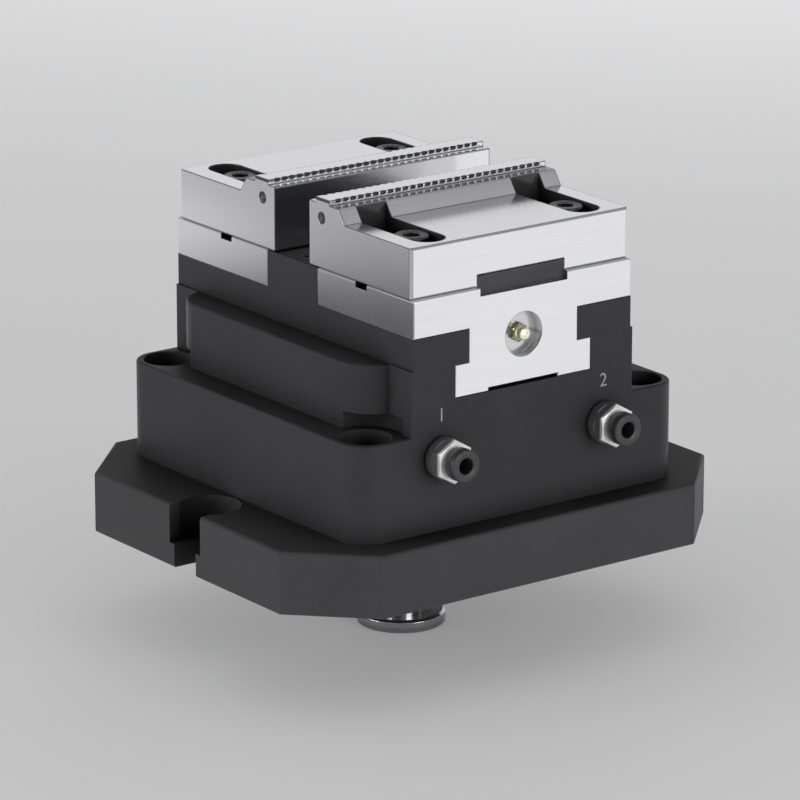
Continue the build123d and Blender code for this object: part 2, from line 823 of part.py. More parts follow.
# Grease nipple: threaded shank, small hexagon, waisted neck and hollow tip
nipple_seat = jaw_outer_x - nipple_bore_depth
nipple_tip = jaw_outer_x + nipple_proud
with BuildPart() as grease_nipple_right:
    with BuildSketch(Plane.XZ):
        with BuildLine():
            Polyline(
                (nipple_seat - nipple_thread_length, nipple_z),
                (nipple_seat - nipple_thread_length, nipple_z + nipple_thread_r),
                (nipple_seat + nipple_hex_h, nipple_z + nipple_thread_r),
                (nipple_seat + nipple_hex_h + 0.6, nipple_z + nipple_waist_r),
                (nipple_tip - 1.6, nipple_z + nipple_waist_r),
                (nipple_tip - 0.9, nipple_z + nipple_tip_r),
                (nipple_tip - 0.5, nipple_z + nipple_tip_r),
                (nipple_tip, nipple_z + nipple_tip_r - 0.7),
                (nipple_tip, nipple_z),
                close=True,
            )
        make_face()
    revolve(axis=Axis((0, 0, nipple_z), (1, 0, 0)))
    with BuildSketch(Plane.YZ.offset(nipple_seat)):
        with Locations((0, nipple_z)):
            hexagon(nipple_hex)
    extrude(amount=nipple_hex_h)
    with Locations(Plane(origin=(nipple_tip, 0, nipple_z), z_dir=(1, 0, 0))):
        Hole(grease_hole_r, depth=3.0)
grease_nipple_right.part.label = "grease_nipple_right"
export_step(grease_nipple_right.part, "parts/grease_nipple_right.step")

# The left jaw and all that it carries mirror the right one
left_pieces = {
    "base_jaw_left": base_jaw_right,
    "top_jaw_left": top_jaw_right,
    "jaw_screws_left": jaw_screws_right,
    "cross_key_left": cross_key_right,
    "tenon_key_left": tenon_key_right,
    "tenon_screw_left": tenon_screw_right,
    "grease_nipple_left": grease_nipple_right,
}
for left_name, right_piece in left_pieces.items():
    with BuildPart() as left_piece:
        mirror(right_piece.part, about=Plane.YZ)
    left_piece.part.label = left_name
    export_step(left_piece.part, f"parts/{left_name}.step")

# Screws in the skirt's corner pockets and dowels, body to plate
with BuildPart() as body_screws:
    with Locations(*[(x, y, skirt_top - corner_pocket_depth) for x, y in corner_points]):
        socket_screw(
            corner_screw_r,
            corner_screw_head_r,
            corner_screw_head_h,
            corner_screw_length,
            corner_screw_hex,
        )
body_screws.part.label = "body_screws"
export_step(body_screws.part, "parts/body_screws.step")

with BuildPart() as dowel_pins:
    with Locations(*[(x, y, plate_t) for x, y in dowel_points]):
        Cylinder(dowel_r, 2 * dowel_half - 1)
dowel_pins.part.label = "dowel_pins"
export_step(dowel_pins.part, "parts/dowel_pins.step")

with BuildPart() as passage_plug:
    with Locations((port_duct_x, port_y, body_z + plug_h)):
        Cylinder(plug_r, plug_h, align=(Align.CENTER, Align.CENTER, Align.MAX))
        with BuildSketch(Plane.XY.offset(body_z)):
            with Locations((port_duct_x, port_y)):
                hexagon(3.0)
        extrude(amount=plug_h / 2, mode=Mode.SUBTRACT)
passage_plug.part.label = "passage_plug"
export_step(passage_plug.part, "parts/passage_plug.step")

# Pull stud: clamping collar, neck and locating boss, and above the plate's
# underside a flange let into the plate and a threaded shank
with BuildPart() as pull_stud:
    with BuildSketch(Plane.XZ):
        with BuildLine():
            Polyline(
                (0, -stud_length),
                (stud_r - stud_nose_break, -stud_length),
                (stud_r, -stud_length + stud_nose_break),
                (stud_r, -stud_length + stud_collar_h - stud_break),
                (stud_r - stud_break, -stud_length + stud_collar_h),
                (stud_neck_r, -stud_length + stud_collar_h),
                (stud_neck_r, -stud_boss_h - (stud_r - stud_neck_r) / 2),
                (stud_r, -stud_boss_h),
                (stud_r, 0),
                (stud_flange_r, 0),
                (stud_flange_r, stud_flange_h - thread_gap),
                (stud_thread_r - thread_gap, stud_flange_h - thread_gap),
                (stud_thread_r - thread_gap, stud_thread_end),
                (0, stud_thread_end),
                close=True,
            )
        make_face()
    revolve(axis=Axis.Z)
    with BuildSketch(Plane.XY.offset(-stud_length)):
        hexagon(stud_hex)
    extrude(amount=stud_hex_depth, mode=Mode.SUBTRACT)
pull_stud.part.label = "pull_stud"
export_step(pull_stud.part, "parts/pull_stud.step")

# Push-in air fittings, the first on the -Y side
face_x = body_size / 2
collar_x = face_x + washer_t
hex_x = collar_x + collar_t
hex_front = hex_x + fitting_hex_t
socket_floor = hex_front - socket_depth
ring_x = hex_front + ring_gap
for number, y in ((1, -port_y), (2, port_y)):
    with BuildPart() as port_washer:
        with BuildSketch(Plane.YZ.offset(face_x)):
            with Locations((y, port_z)):
                Circle(washer_r)
                Circle(washer_hole_r, mode=Mode.SUBTRACT)
        extrude(amount=washer_t)
    port_washer.part.label = f"port_washer_{number}"
    export_step(port_washer.part, f"parts/port_washer_{number}.step")

    with BuildPart() as fitting_body:
        with BuildSketch(Plane.YZ.offset(face_x - fitting_shank)):
            with Locations((y, port_z)):
                Circle(port_thread_r)
        extrude(amount=fitting_shank + washer_t)
        with BuildSketch(Plane.YZ.offset(collar_x)):
            with Locations((y, port_z)):
                Circle(collar_r)
        extrude(amount=collar_t)
        with Locations(Plane(origin=(hex_x, y, port_z), x_dir=(0, 1, 0), z_dir=(1, 0, 0))):
            hex_collar(fitting_hex, fitting_hex_t, 30)
        with BuildSketch(Plane.YZ.offset(hex_front)):
            with Locations((y, port_z)):
                Circle(socket_r)
        extrude(amount=-socket_depth, mode=Mode.SUBTRACT)
        with BuildSketch(Plane.YZ.offset(hex_front)):
            with Locations((y, port_z)):
                Circle(tube_r)
        extrude(amount=-tube_stop_depth, mode=Mode.SUBTRACT)
        with BuildSketch(Plane.YZ.offset(face_x - fitting_shank)):
            with Locations((y, port_z)):
                Circle(fitting_duct_r)
        extrude(amount=fitting_shank, mode=Mode.SUBTRACT)
    fitting_body.part.label = f"fitting_body_{number}"
    export_step(fitting_body.part, f"parts/fitting_body_{number}.step")

    with BuildPart() as tube_seal:
        with BuildSketch(Plane.YZ.offset(socket_floor)):
            with Locations((y, port_z)):
                Circle(socket_r)
                Circle(tube_r, mode=Mode.SUBTRACT)
        extrude(amount=tube_seal_t)
    tube_seal.part.label = f"tube_seal_{number}"
    export_step(tube_seal.part, f"parts/tube_seal_{number}.step")

    with BuildPart() as release_ring:
        with BuildSketch(Plane.YZ.offset(ring_x)):
            with Locations((y, port_z)):
                Circle(ring_r)
        extrude(amount=ring_flange)
        chamfer(release_ring.faces().sort_by(Axis.X)[-1].edges(), edge_break)
        with BuildSketch(Plane.YZ.offset(ring_x)):
            with Locations((y, port_z)):
                Circle(socket_r - slide_gap)
        extrude(amount=-ring_sleeve)
        with BuildSketch(Plane.YZ.offset(ring_x + ring_flange)):
            with Locations((y, port_z)):
                Circle(ring_hole_r)
        extrude(amount=-(ring_flange + ring_sleeve), mode=Mode.SUBTRACT)
    release_ring.part.label = f"release_ring_{number}"
    export_step(release_ring.part, f"parts/release_ring_{number}.step")
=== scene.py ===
import bmesh
import bpy
import math
import numpy as np
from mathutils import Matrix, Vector


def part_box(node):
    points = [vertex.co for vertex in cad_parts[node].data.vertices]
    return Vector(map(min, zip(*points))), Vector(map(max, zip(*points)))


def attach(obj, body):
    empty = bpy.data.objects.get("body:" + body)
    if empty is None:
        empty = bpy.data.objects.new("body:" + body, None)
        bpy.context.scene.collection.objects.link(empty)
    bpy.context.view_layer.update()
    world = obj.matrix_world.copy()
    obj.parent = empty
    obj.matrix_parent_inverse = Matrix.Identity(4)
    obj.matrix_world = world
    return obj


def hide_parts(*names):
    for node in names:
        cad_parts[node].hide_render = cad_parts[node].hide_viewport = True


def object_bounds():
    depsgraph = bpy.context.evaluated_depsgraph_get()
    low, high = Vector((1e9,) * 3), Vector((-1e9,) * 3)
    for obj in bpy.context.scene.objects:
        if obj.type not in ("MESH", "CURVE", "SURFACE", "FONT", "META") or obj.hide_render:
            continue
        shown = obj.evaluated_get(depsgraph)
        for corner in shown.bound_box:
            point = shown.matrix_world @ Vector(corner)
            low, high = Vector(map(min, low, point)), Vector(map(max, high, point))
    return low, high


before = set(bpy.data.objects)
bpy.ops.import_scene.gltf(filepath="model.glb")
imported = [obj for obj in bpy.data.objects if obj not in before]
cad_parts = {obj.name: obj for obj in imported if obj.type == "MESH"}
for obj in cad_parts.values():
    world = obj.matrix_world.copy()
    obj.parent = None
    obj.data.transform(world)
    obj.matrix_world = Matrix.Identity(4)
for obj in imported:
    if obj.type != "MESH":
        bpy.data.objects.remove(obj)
cad_low, cad_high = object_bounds()
mm = 0.001


# Studio: a wide pale floor under the stud's nose, fading into a pale backdrop,
# with a broad soft lamp on each side of the camera and weaker ones overhead and behind.
# Mirrored in the jaws, the floor is as bright as the backdrop, but for two cards that glossy rays alone see:
# a painted dark reflection and a painted grey one.
floor_reach = 7.0
floor_z = cad_low.z - 0.2 * mm
floor_rings = 48
floor_spokes = 96
floor_colour = (0.78, 0.78, 0.79, 1)
floor_glow = 0.5
shadow_reach = 0.22
shadow_depth = 0.6
backdrop_colour = (0.93, 0.93, 0.94, 1)
sky_colour = (0.85, 0.85, 0.86, 1)
ceiling_colour = (0.34, 0.34, 0.35, 1)
fill_colour = (0.82, 0.82, 0.83, 1)
fill_above = (0.03, 0.03, 0.03, 1)
fill_strength = 0.55
# Painted reflections in the jaws: where the dark and the grey card lie on the floor, and how they fade.
dark_card_place = (-0.33, -0.30)
dark_card_fade = (0.05, 0.24)
painted_dark_reflection_colour = (0.06, 0.06, 0.065, 1)
grey_card_edge = (-0.375, -0.41)
painted_grey_reflection_colour = (0.33, 0.33, 0.335, 1)
grey_card_share = 0.8
floor_to_sky = (0.35, 2.2)
cards_begin = (0.12, 0.26)
sky_to_ceiling = (0.10, 0.80)
fill_dies_out = (0.15, 0.60)


def grid_mesh(name, points):
    """Mesh whose faces are the cells of a grid of points. Rows follow the first
    index, and the last column is joined to the first."""
    rows, columns = points.shape[:2]
    index = np.arange(rows * columns).reshape(rows, columns)
    index = np.concatenate((index, index[:, :1]), axis=1)
    cells = np.stack((index[:-1, :-1], index[:-1, 1:], index[1:, 1:], index[1:, :-1]), axis=-1)
    mesh = bpy.data.meshes.new(name)
    mesh.from_pydata(points.reshape(-1, 3).tolist(), [], cells.reshape(-1, 4).tolist())
    return mesh


def place_mesh(mesh, name, smooth_below=None):
    """Object at the origin for a mesh: doubled points are merged, faces turned
    outwards, and edges flatter than the given angle in degrees shaded smooth."""
    work = bmesh.new()
    work.from_mesh(mesh)
    bmesh.ops.remove_doubles(work, verts=work.verts, dist=0.002 * mm)
    bmesh.ops.recalc_face_normals(work, faces=work.faces)
    work.to_mesh(mesh)
    work.free()
    if smooth_below:
        mesh.shade_smooth()
        mesh.set_sharp_from_angle(angle=math.radians(smooth_below))
    piece = bpy.data.objects.new(name, mesh)
    bpy.context.scene.collection.objects.link(piece)
    return piece


def disc_points(radius, height, rings, spokes):
    """Flat disc: radius grows with the square of one parameter, angle with the other."""
    reach = radius * np.linspace(0, 1, rings)[:, None] ** 2
    turn = np.linspace(0, 2 * np.pi, spokes, endpoint=False)[None, :]
    level = np.full((rings, spokes), height)
    return np.stack((reach * np.cos(turn), reach * np.sin(turn), level), axis=-1)


def new_material(name):
    """Empty material, with its node tree and its output node."""
    material = bpy.data.materials.new(name)
    material.use_nodes = True
    tree = material.node_tree
    tree.nodes.clear()
    return material, tree, tree.nodes.new("ShaderNodeOutputMaterial")


def smooth_fade(tree, value, low, high):
    """Map Range node that eases from 0 at the low value to 1 at the high one."""
    node = tree.nodes.new("ShaderNodeMapRange")
    node.interpolation_type = "SMOOTHSTEP"
    node.inputs["From Min"].default_value = low
    node.inputs["From Max"].default_value = high
    tree.links.new(value, node.inputs["Value"])
    return node.outputs["Result"]


def how_far(tree, vector, place):
    """Distance between a vector output and a fixed place."""
    node = tree.nodes.new("ShaderNodeVectorMath")
    node.operation = "DISTANCE"
    node.inputs[1].default_value = place
    tree.links.new(vector, node.inputs[0])
    return node.outputs["Value"]


floor_material, tree, output = new_material("studio_floor")
paint = tree.nodes.new("ShaderNodeBsdfPrincipled")
paint.inputs["Base Color"].default_value = floor_colour
paint.inputs["Roughness"].default_value = 0.7
paint.inputs["Specular IOR Level"].default_value = 0.2
spot = tree.nodes.new("ShaderNodeTexCoord")
from_middle = how_far(tree, spot.outputs["Object"], (0, 0, floor_z))
from_card = how_far(tree, spot.outputs["Object"], (*dark_card_place, floor_z))
glow = tree.nodes.new("ShaderNodeEmission")
glow.inputs["Color"].default_value = sky_colour
# The glow fades in the vise's soft shadow, by how much of the sky is shut off.
shelter = tree.nodes.new("ShaderNodeAmbientOcclusion")
shelter.samples = 8
shelter.inputs["Distance"].default_value = shadow_reach
in_the_open = tree.nodes.new("ShaderNodeMapRange")
in_the_open.inputs["To Min"].default_value = 1 - shadow_depth
tree.links.new(shelter.outputs["AO"], in_the_open.inputs["Value"])
tree.links.new(in_the_open.outputs["Result"], glow.inputs["Strength"])
blend_out = tree.nodes.new("ShaderNodeMixShader")
outwards = smooth_fade(tree, from_middle, *floor_to_sky)
brighter = tree.nodes.new("ShaderNodeMapRange")
brighter.inputs["To Min"].default_value = floor_glow
tree.links.new(outwards, brighter.inputs["Value"])
tree.links.new(brighter.outputs["Result"], blend_out.inputs["Fac"])
tree.links.new(paint.outputs["BSDF"], blend_out.inputs[1])
tree.links.new(glow.outputs["Emission"], blend_out.inputs[2])
# Painted reflections: a dark card and a grey card on the floor, seen only by glossy rays, darken what the
# jaws mirror.
card_tone = tree.nodes.new("ShaderNodeMix")
card_tone.data_type = "RGBA"
card_tone.inputs[6].default_value = painted_dark_reflection_colour
card_tone.inputs[7].default_value = backdrop_colour
tree.links.new(smooth_fade(tree, from_card, *dark_card_fade), card_tone.inputs["Factor"])
floor_axes = tree.nodes.new("ShaderNodeSeparateXYZ")
tree.links.new(spot.outputs["Object"], floor_axes.inputs["Vector"])
on_grey_card = tree.nodes.new("ShaderNodeMath")
on_grey_card.operation = "MULTIPLY"
on_grey_card.inputs[1].default_value = grey_card_share
grey_begins = smooth_fade(tree, floor_axes.outputs["Y"], *grey_card_edge)
tree.links.new(grey_begins, on_grey_card.inputs[0])
both_cards = tree.nodes.new("ShaderNodeMix")
both_cards.data_type = "RGBA"
both_cards.inputs[7].default_value = painted_grey_reflection_colour
tree.links.new(on_grey_card.outputs["Value"], both_cards.inputs["Factor"])
tree.links.new(card_tone.outputs[2], both_cards.inputs[6])
mirrored = tree.nodes.new("ShaderNodeEmission")
tree.links.new(both_cards.outputs[2], mirrored.inputs["Color"])
floor_ray = tree.nodes.new("ShaderNodeLightPath")
as_mirrored = tree.nodes.new("ShaderNodeMath")
as_mirrored.operation = "MULTIPLY"
tree.links.new(floor_ray.outputs["Is Glossy Ray"], as_mirrored.inputs[0])
tree.links.new(smooth_fade(tree, from_middle, *cards_begin), as_mirrored.inputs[1])
two_floors = tree.nodes.new("ShaderNodeMixShader")
tree.links.new(as_mirrored.outputs["Value"], two_floors.inputs["Fac"])
tree.links.new(blend_out.outputs["Shader"], two_floors.inputs[1])
tree.links.new(mirrored.outputs["Emission"], two_floors.inputs[2])
tree.links.new(two_floors.outputs["Shader"], output.inputs["Surface"])
floor = place_mesh(
    grid_mesh("studio_floor", disc_points(floor_reach, floor_z, floor_rings, floor_spokes)),
    "studio_floor",
)
floor.data.materials.append(floor_material)

world = bpy.data.worlds.new("studio")
world.use_nodes = True
bpy.context.scene.world = world
sky = world.node_tree
sky.nodes.clear()
sky_out = sky.nodes.new("ShaderNodeOutputWorld")
direction = sky.nodes.new("ShaderNodeTexCoord")
split = sky.nodes.new("ShaderNodeSeparateXYZ")
sky.links.new(direction.outputs["Generated"], split.inputs["Vector"])
tone = sky.nodes.new("ShaderNodeMix")
tone.data_type = "RGBA"
tone.inputs[6].default_value = sky_colour
tone.inputs[7].default_value = ceiling_colour
sky.links.new(smooth_fade(sky, split.outputs["Z"], *sky_to_ceiling), tone.inputs["Factor"])
fill_tone = sky.nodes.new("ShaderNodeMix")
fill_tone.data_type = "RGBA"
fill_tone.inputs[6].default_value = fill_colour
fill_tone.inputs[7].default_value = fill_above
sky.links.new(smooth_fade(sky, split.outputs["Z"], *fill_dies_out), fill_tone.inputs["Factor"])
soft_fill = sky.nodes.new("ShaderNodeBackground")
soft_fill.inputs["Strength"].default_value = fill_strength
seen_sky = sky.nodes.new("ShaderNodeBackground")
ray = sky.nodes.new("ShaderNodeLightPath")
seen = sky.nodes.new("ShaderNodeMath")
seen.operation = "MAXIMUM"
seen_any = sky.nodes.new("ShaderNodeMath")
seen_any.operation = "MAXIMUM"
choose = sky.nodes.new("ShaderNodeMixShader")
sky.links.new(fill_tone.outputs[2], soft_fill.inputs["Color"])
sky.links.new(tone.outputs[2], seen_sky.inputs["Color"])
sky.links.new(ray.outputs["Is Camera Ray"], seen.inputs[0])
sky.links.new(ray.outputs["Is Glossy Ray"], seen.inputs[1])
sky.links.new(seen.outputs["Value"], seen_any.inputs[0])
sky.links.new(ray.outputs["Is Transmission Ray"], seen_any.inputs[1])
sky.links.new(seen_any.outputs["Value"], choose.inputs["Fac"])
sky.links.new(soft_fill.outputs["Background"], choose.inputs[1])
sky.links.new(seen_sky.outputs["Background"], choose.inputs[2])
sky.links.new(choose.outputs["Shader"], sky_out.inputs["Surface"])


def soft_lamp(name, where, size, power):
    """Square area lamp at a point, turned to face the vise's middle."""
    light = bpy.data.lights.new(name, "AREA")
    light.shape = "SQUARE"
    light.size = size
    light.energy = power
    lamp = bpy.data.objects.new(name, light)
    lamp.location = where
    aim = (cad_low + cad_high) / 2 - Vector(where)
    lamp.rotation_mode = "QUATERNION"
    lamp.rotation_quaternion = aim.to_track_quat("-Z", "Y")
    lamp.visible_camera = False
    bpy.context.scene.collection.objects.link(lamp)
    return lamp


soft_lamp("lamp_left", where=(-0.5, -1.5, 0.32), size=0.9, power=13)
soft_lamp("lamp_right", where=(1.6, 0.25, 0.28), size=0.8, power=12)
soft_lamp("lamp_top", where=(0.1, 0.2, 1.6), size=1.1, power=0.8)
# The lamp behind would bleach the jaws' tops, so polished metal doesn't mirror it.
soft_lamp("lamp_back", where=(-1.1, 1.2, 0.32), size=0.9, power=7).visible_glossy = False


# Camera: stands where the photograph was taken from, about two metres off and
# 16 degrees above the plate, with a longer lens so that the vise fills the view.
camera_place = Vector((1.5233, -1.1323, 0.6196))
camera_aim = Vector((0.002, -0.002, 0.0495))
camera_lens = 236
camera_data = bpy.data.cameras.new("camera")
camera_data.lens = camera_lens
camera_data.sensor_width = 36
camera_data.clip_start = 0.05
camera_data.clip_end = 60
camera = bpy.data.objects.new("camera", camera_data)
camera.location = camera_place
camera.rotation_mode = "QUATERNION"
camera.rotation_quaternion = (camera_aim - camera_place).to_track_quat("-Z", "Y")
bpy.context.scene.collection.objects.link(camera)
bpy.context.scene.camera = camera
bpy.context.scene.view_settings.view_transform = "Standard"


# Base plate: 24 mm of black anodised aluminium with clipped corners and a bolt
# slot in each long side, milled and bead-blasted, its edges paler from wear and from a painted highlight.
plate_dark = (0.054, 0.054, 0.056, 1)
plate_light = (0.074, 0.074, 0.077, 1)
plate_edge_wear_and_sheen_colour = (0.20, 0.20, 0.21, 1)
edge_turn = (0.998, 0.925)
edge_patches = (0.3, 0.6)
edge_patch_least = 0.35
grain_share = 0.45
corner_shade_range = (0.3, 0.95)
relief_height = 0.02 * mm


def effect_group(name, inputs, outputs):
    """Shader group. Inputs are names with their values, and None stands for a
    vector. An output named Normal is a vector, and the others are numbers."""
    group = bpy.data.node_groups.new(name, "ShaderNodeTree")
    for label, value in inputs.items():
        kind = "NodeSocketVector" if value is None else "NodeSocketFloat"
        socket = group.interface.new_socket(label, in_out="INPUT", socket_type=kind)
        if value is not None:
            socket.default_value = value
    for label in outputs:
        kind = "NodeSocketVector" if label == "Normal" else "NodeSocketFloat"
        group.interface.new_socket(label, in_out="OUTPUT", socket_type=kind)
    return group, group.nodes.new("NodeGroupInput"), group.nodes.new("NodeGroupOutput")


def maths(tree, operation, first, second):
    """Math node of two inputs, each a number or another node's output."""
    node = tree.nodes.new("ShaderNodeMath")
    node.operation = operation
    for socket, value in zip(node.inputs, (first, second)):
        if isinstance(value, (int, float)):
            socket.default_value = value
        else:
            tree.links.new(value, socket)
    return node.outputs["Value"]


def span(tree, value, low, high, out_low=0.0, out_high=1.0):
    """Map Range node that turns low..high into out_low..out_high, clamped."""
    node = tree.nodes.new("ShaderNodeMapRange")
    node.inputs["From Min"].default_value = low
    node.inputs["From Max"].default_value = high
    node.inputs["To Min"].default_value = out_low
    node.inputs["To Max"].default_value = out_high
    tree.links.new(value, node.inputs["Value"])
    return node.outputs["Result"]


def noise(tree, vector, scale, detail):
    """Noise texture on a vector output; scale is a number or an output."""
    node = tree.nodes.new("ShaderNodeTexNoise")
    node.inputs["Detail"].default_value = detail
    tree.links.new(vector, node.inputs["Vector"])
    if isinstance(scale, (int, float)):
        node.inputs["Scale"].default_value = scale
    else:
        tree.links.new(scale, node.inputs["Scale"])
    return node.outputs["Fac"]


# The normal across a rounded edge against the flat's own tells where an edge is.
# The edge colour is wear on some materials, and painted highlights and painted dark edge lines on others.
edge_marking, given, made = effect_group(
    "edge_marking", {"Vector": None, "Width": 0.0004, "Patches": 90.0, "Even": 0.0}, ("Mask", "Normal")
)
round_edge = edge_marking.nodes.new("ShaderNodeBevel")
round_edge.samples = 6
flat = edge_marking.nodes.new("ShaderNodeNewGeometry")
facing = edge_marking.nodes.new("ShaderNodeVectorMath")
facing.operation = "DOT_PRODUCT"
edge_marking.links.new(given.outputs["Width"], round_edge.inputs["Radius"])
edge_marking.links.new(round_edge.outputs["Normal"], facing.inputs[0])
edge_marking.links.new(flat.outputs["Normal"], facing.inputs[1])
turned_away = span(edge_marking, facing.outputs["Value"], *edge_turn)
cloudy = noise(edge_marking, given.outputs["Vector"], given.outputs["Patches"], 3.0)
patches = span(edge_marking, cloudy, *edge_patches, edge_patch_least)
evened = maths(edge_marking, "MAXIMUM", patches, given.outputs["Even"])
edge_marking.links.new(maths(edge_marking, "MULTIPLY", turned_away, evened), made.inputs["Mask"])
edge_marking.links.new(round_edge.outputs["Normal"], made.inputs["Normal"])

# Fine blasted grain over slow cloudy patches.
blasted, given, made = effect_group(
    "blasted", {"Vector": None, "Grain": 1500.0, "Clouds": 28.0}, ("Tint", "Height")
)
grain = noise(blasted, given.outputs["Vector"], given.outputs["Grain"], 2.0)
clouds = noise(blasted, given.outputs["Vector"], given.outputs["Clouds"], 3.0)
grain_part = maths(blasted, "MULTIPLY", grain, grain_share)
both = maths(blasted, "ADD", grain_part, maths(blasted, "MULTIPLY", clouds, 1 - grain_share))
blasted.links.new(span(blasted, both, 0.3, 0.7), made.inputs["Tint"])
blasted.links.new(grain, made.inputs["Height"])


# Painted shade: the places that neighbouring surfaces shut in are darkened.
corner_shade, given, made = effect_group("corner_shade", {"Reach": 0.02, "Floor": 0.4}, ("Mask",))
around = corner_shade.nodes.new("ShaderNodeAmbientOcclusion")
around.samples = 8
corner_shade.links.new(given.outputs["Reach"], around.inputs["Distance"])
closeness = span(corner_shade, around.outputs["AO"], *corner_shade_range, 1.0, 0.0)
darkened = maths(corner_shade, "MULTIPLY", closeness, given.outputs["Floor"])
corner_shade.links.new(darkened, made.inputs["Mask"])


def finish(name, dark, light, smooth, rough, pattern, settings, relief, metallic, specular,
           edge_mark_colour, edge_mark_share, edge_mark_width=0.35, even=0.0, shade=None, shade_colour=(0, 0, 0, 1),
           contact=0.0, reach=20.0):
    """Material whose colour and roughness run between two values with a pattern's
    tint. The pattern's height is its relief, and its edges take a colour of their
    own: wear on some materials, and painted highlights and painted dark lines on others.
    A shade is a group whose Mask, from the place alone, turns the metal to a dull
    colour, and contact paints shade on places that are shut in within a reach in mm."""
    material, tree, output = new_material(name)
    shader = tree.nodes.new("ShaderNodeBsdfPrincipled")
    shader.inputs["Metallic"].default_value = metallic
    shader.inputs["Specular IOR Level"].default_value = specular
    where = tree.nodes.new("ShaderNodeTexCoord")
    marks = tree.nodes.new("ShaderNodeGroup")
    marks.node_tree = pattern
    for label, value in settings.items():
        marks.inputs[label].default_value = value
    edge = tree.nodes.new("ShaderNodeGroup")
    edge.node_tree = edge_marking
    edge.inputs["Width"].default_value = edge_mark_width * mm
    edge.inputs["Even"].default_value = even
    tree.links.new(where.outputs["Object"], marks.inputs["Vector"])
    tree.links.new(where.outputs["Object"], edge.inputs["Vector"])
    base = tree.nodes.new("ShaderNodeMix")
    base.data_type = "RGBA"
    base.inputs[6].default_value = dark
    base.inputs[7].default_value = light
    tree.links.new(marks.outputs["Tint"], base.inputs["Factor"])
    edge_marked = tree.nodes.new("ShaderNodeMix")
    edge_marked.data_type = "RGBA"
    edge_marked.inputs[7].default_value = edge_mark_colour
    tree.links.new(maths(tree, "MULTIPLY", edge.outputs["Mask"], edge_mark_share), edge_marked.inputs["Factor"])
    tree.links.new(base.outputs[2], edge_marked.inputs[6])
    colour = edge_marked.outputs[2]
    if shade:
        hollow = tree.nodes.new("ShaderNodeGroup")
        hollow.node_tree = shade
        tree.links.new(where.outputs["Object"], hollow.inputs["Vector"])
        tree.links.new(span(tree, hollow.outputs["Mask"], 0.0, 1.0, metallic, 0.0), shader.inputs["Metallic"])
        deep = tree.nodes.new("ShaderNodeMix")
        deep.data_type = "RGBA"
        deep.inputs[7].default_value = shade_colour
        tree.links.new(hollow.outputs["Mask"], deep.inputs["Factor"])
        tree.links.new(colour, deep.inputs[6])
        colour = deep.outputs[2]
    if contact:
        close = tree.nodes.new("ShaderNodeGroup")
        close.node_tree = corner_shade
        close.inputs["Reach"].default_value = reach * mm
        close.inputs["Floor"].default_value = contact
        dimmed = tree.nodes.new("ShaderNodeMix")
        dimmed.data_type = "RGBA"
        dimmed.inputs[7].default_value = (0, 0, 0, 1)
        tree.links.new(close.outputs["Mask"], dimmed.inputs["Factor"])
        tree.links.new(colour, dimmed.inputs[6])
        colour = dimmed.outputs[2]
    tree.links.new(colour, shader.inputs["Base Color"])
    tree.links.new(span(tree, marks.outputs["Tint"], 0.0, 1.0, smooth, rough), shader.inputs["Roughness"])
    bump = tree.nodes.new("ShaderNodeBump")
    bump.inputs["Strength"].default_value = relief
    bump.inputs["Distance"].default_value = relief_height
    tree.links.new(marks.outputs["Height"], bump.inputs["Height"])
    tree.links.new(edge.outputs["Normal"], bump.inputs["Normal"])
    tree.links.new(bump.outputs["Normal"], shader.inputs["Normal"])
    tree.links.new(shader.outputs["BSDF"], output.inputs["Surface"])
    return material


def dress(node, material):
    """Gives a CAD node its material."""
    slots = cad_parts[node].data.materials
    slots.clear()
    slots.append(material)


def merged_copy(node, name, material, body, smooth_below=32):
    """Copy of a CAD node with its loose triangles joined, so that its rounds and
    bores shade smoothly while its flats, weighted by their area, stay flat."""
    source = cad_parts[node].data
    corners = np.empty(len(source.vertices) * 3)
    source.vertices.foreach_get("co", corners)
    order = np.empty(len(source.loops), int)
    source.loops.foreach_get("vertex_index", order)
    mesh = bpy.data.meshes.new(name)
    mesh.from_pydata(corners.reshape(-1, 3).tolist(), [], order.reshape(-1, 3).tolist())
    piece = place_mesh(mesh, name, smooth_below)
    even = piece.modifiers.new("even_flats", "WEIGHTED_NORMAL")
    even.keep_sharp = True
    piece.data.materials.append(material)
    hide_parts(node)
    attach(piece, body)
    return piece


# Painted shade darkens the plate where neighbouring parts shut it in.
plate_black = finish(
    "plate_black", dark=plate_dark, light=plate_light,
    smooth=0.46, rough=0.60, pattern=blasted, settings={"Grain": 1500.0, "Clouds": 24.0},
    relief=0.25, metallic=0.0, specular=0.05, edge_mark_colour=plate_edge_wear_and_sheen_colour, edge_mark_share=0.3, edge_mark_width=0.45,
    contact=0.85, reach=30.0,
)
merged_copy("base_plate", "plate", plate_black, "vise")


# Vise body: one block of aluminium, milled to a square skirt, two side pads, a
# shoulder and a bridge, and hard anodised in a smooth satin black.
body_dark = (0.037, 0.037, 0.039, 1)
body_light = (0.052, 0.052, 0.055, 1)
body_edge_wear_and_sheen_colour = (0.17, 0.17, 0.18, 1)
# Paler edges, from wear and from a painted highlight, and painted shade where the body is shut in.
body_black = finish(
    "body_black", dark=body_dark, light=body_light,
    smooth=0.38, rough=0.50, pattern=blasted, settings={"Grain": 1900.0, "Clouds": 18.0},
    relief=0.18, metallic=0.0, specular=0.08, edge_mark_colour=body_edge_wear_and_sheen_colour, edge_mark_share=0.25, edge_mark_width=0.35,
    contact=0.65, reach=11.0,
)
merged_copy("vise_body", "body", body_black, "vise")
dress("centre_cover", body_black)


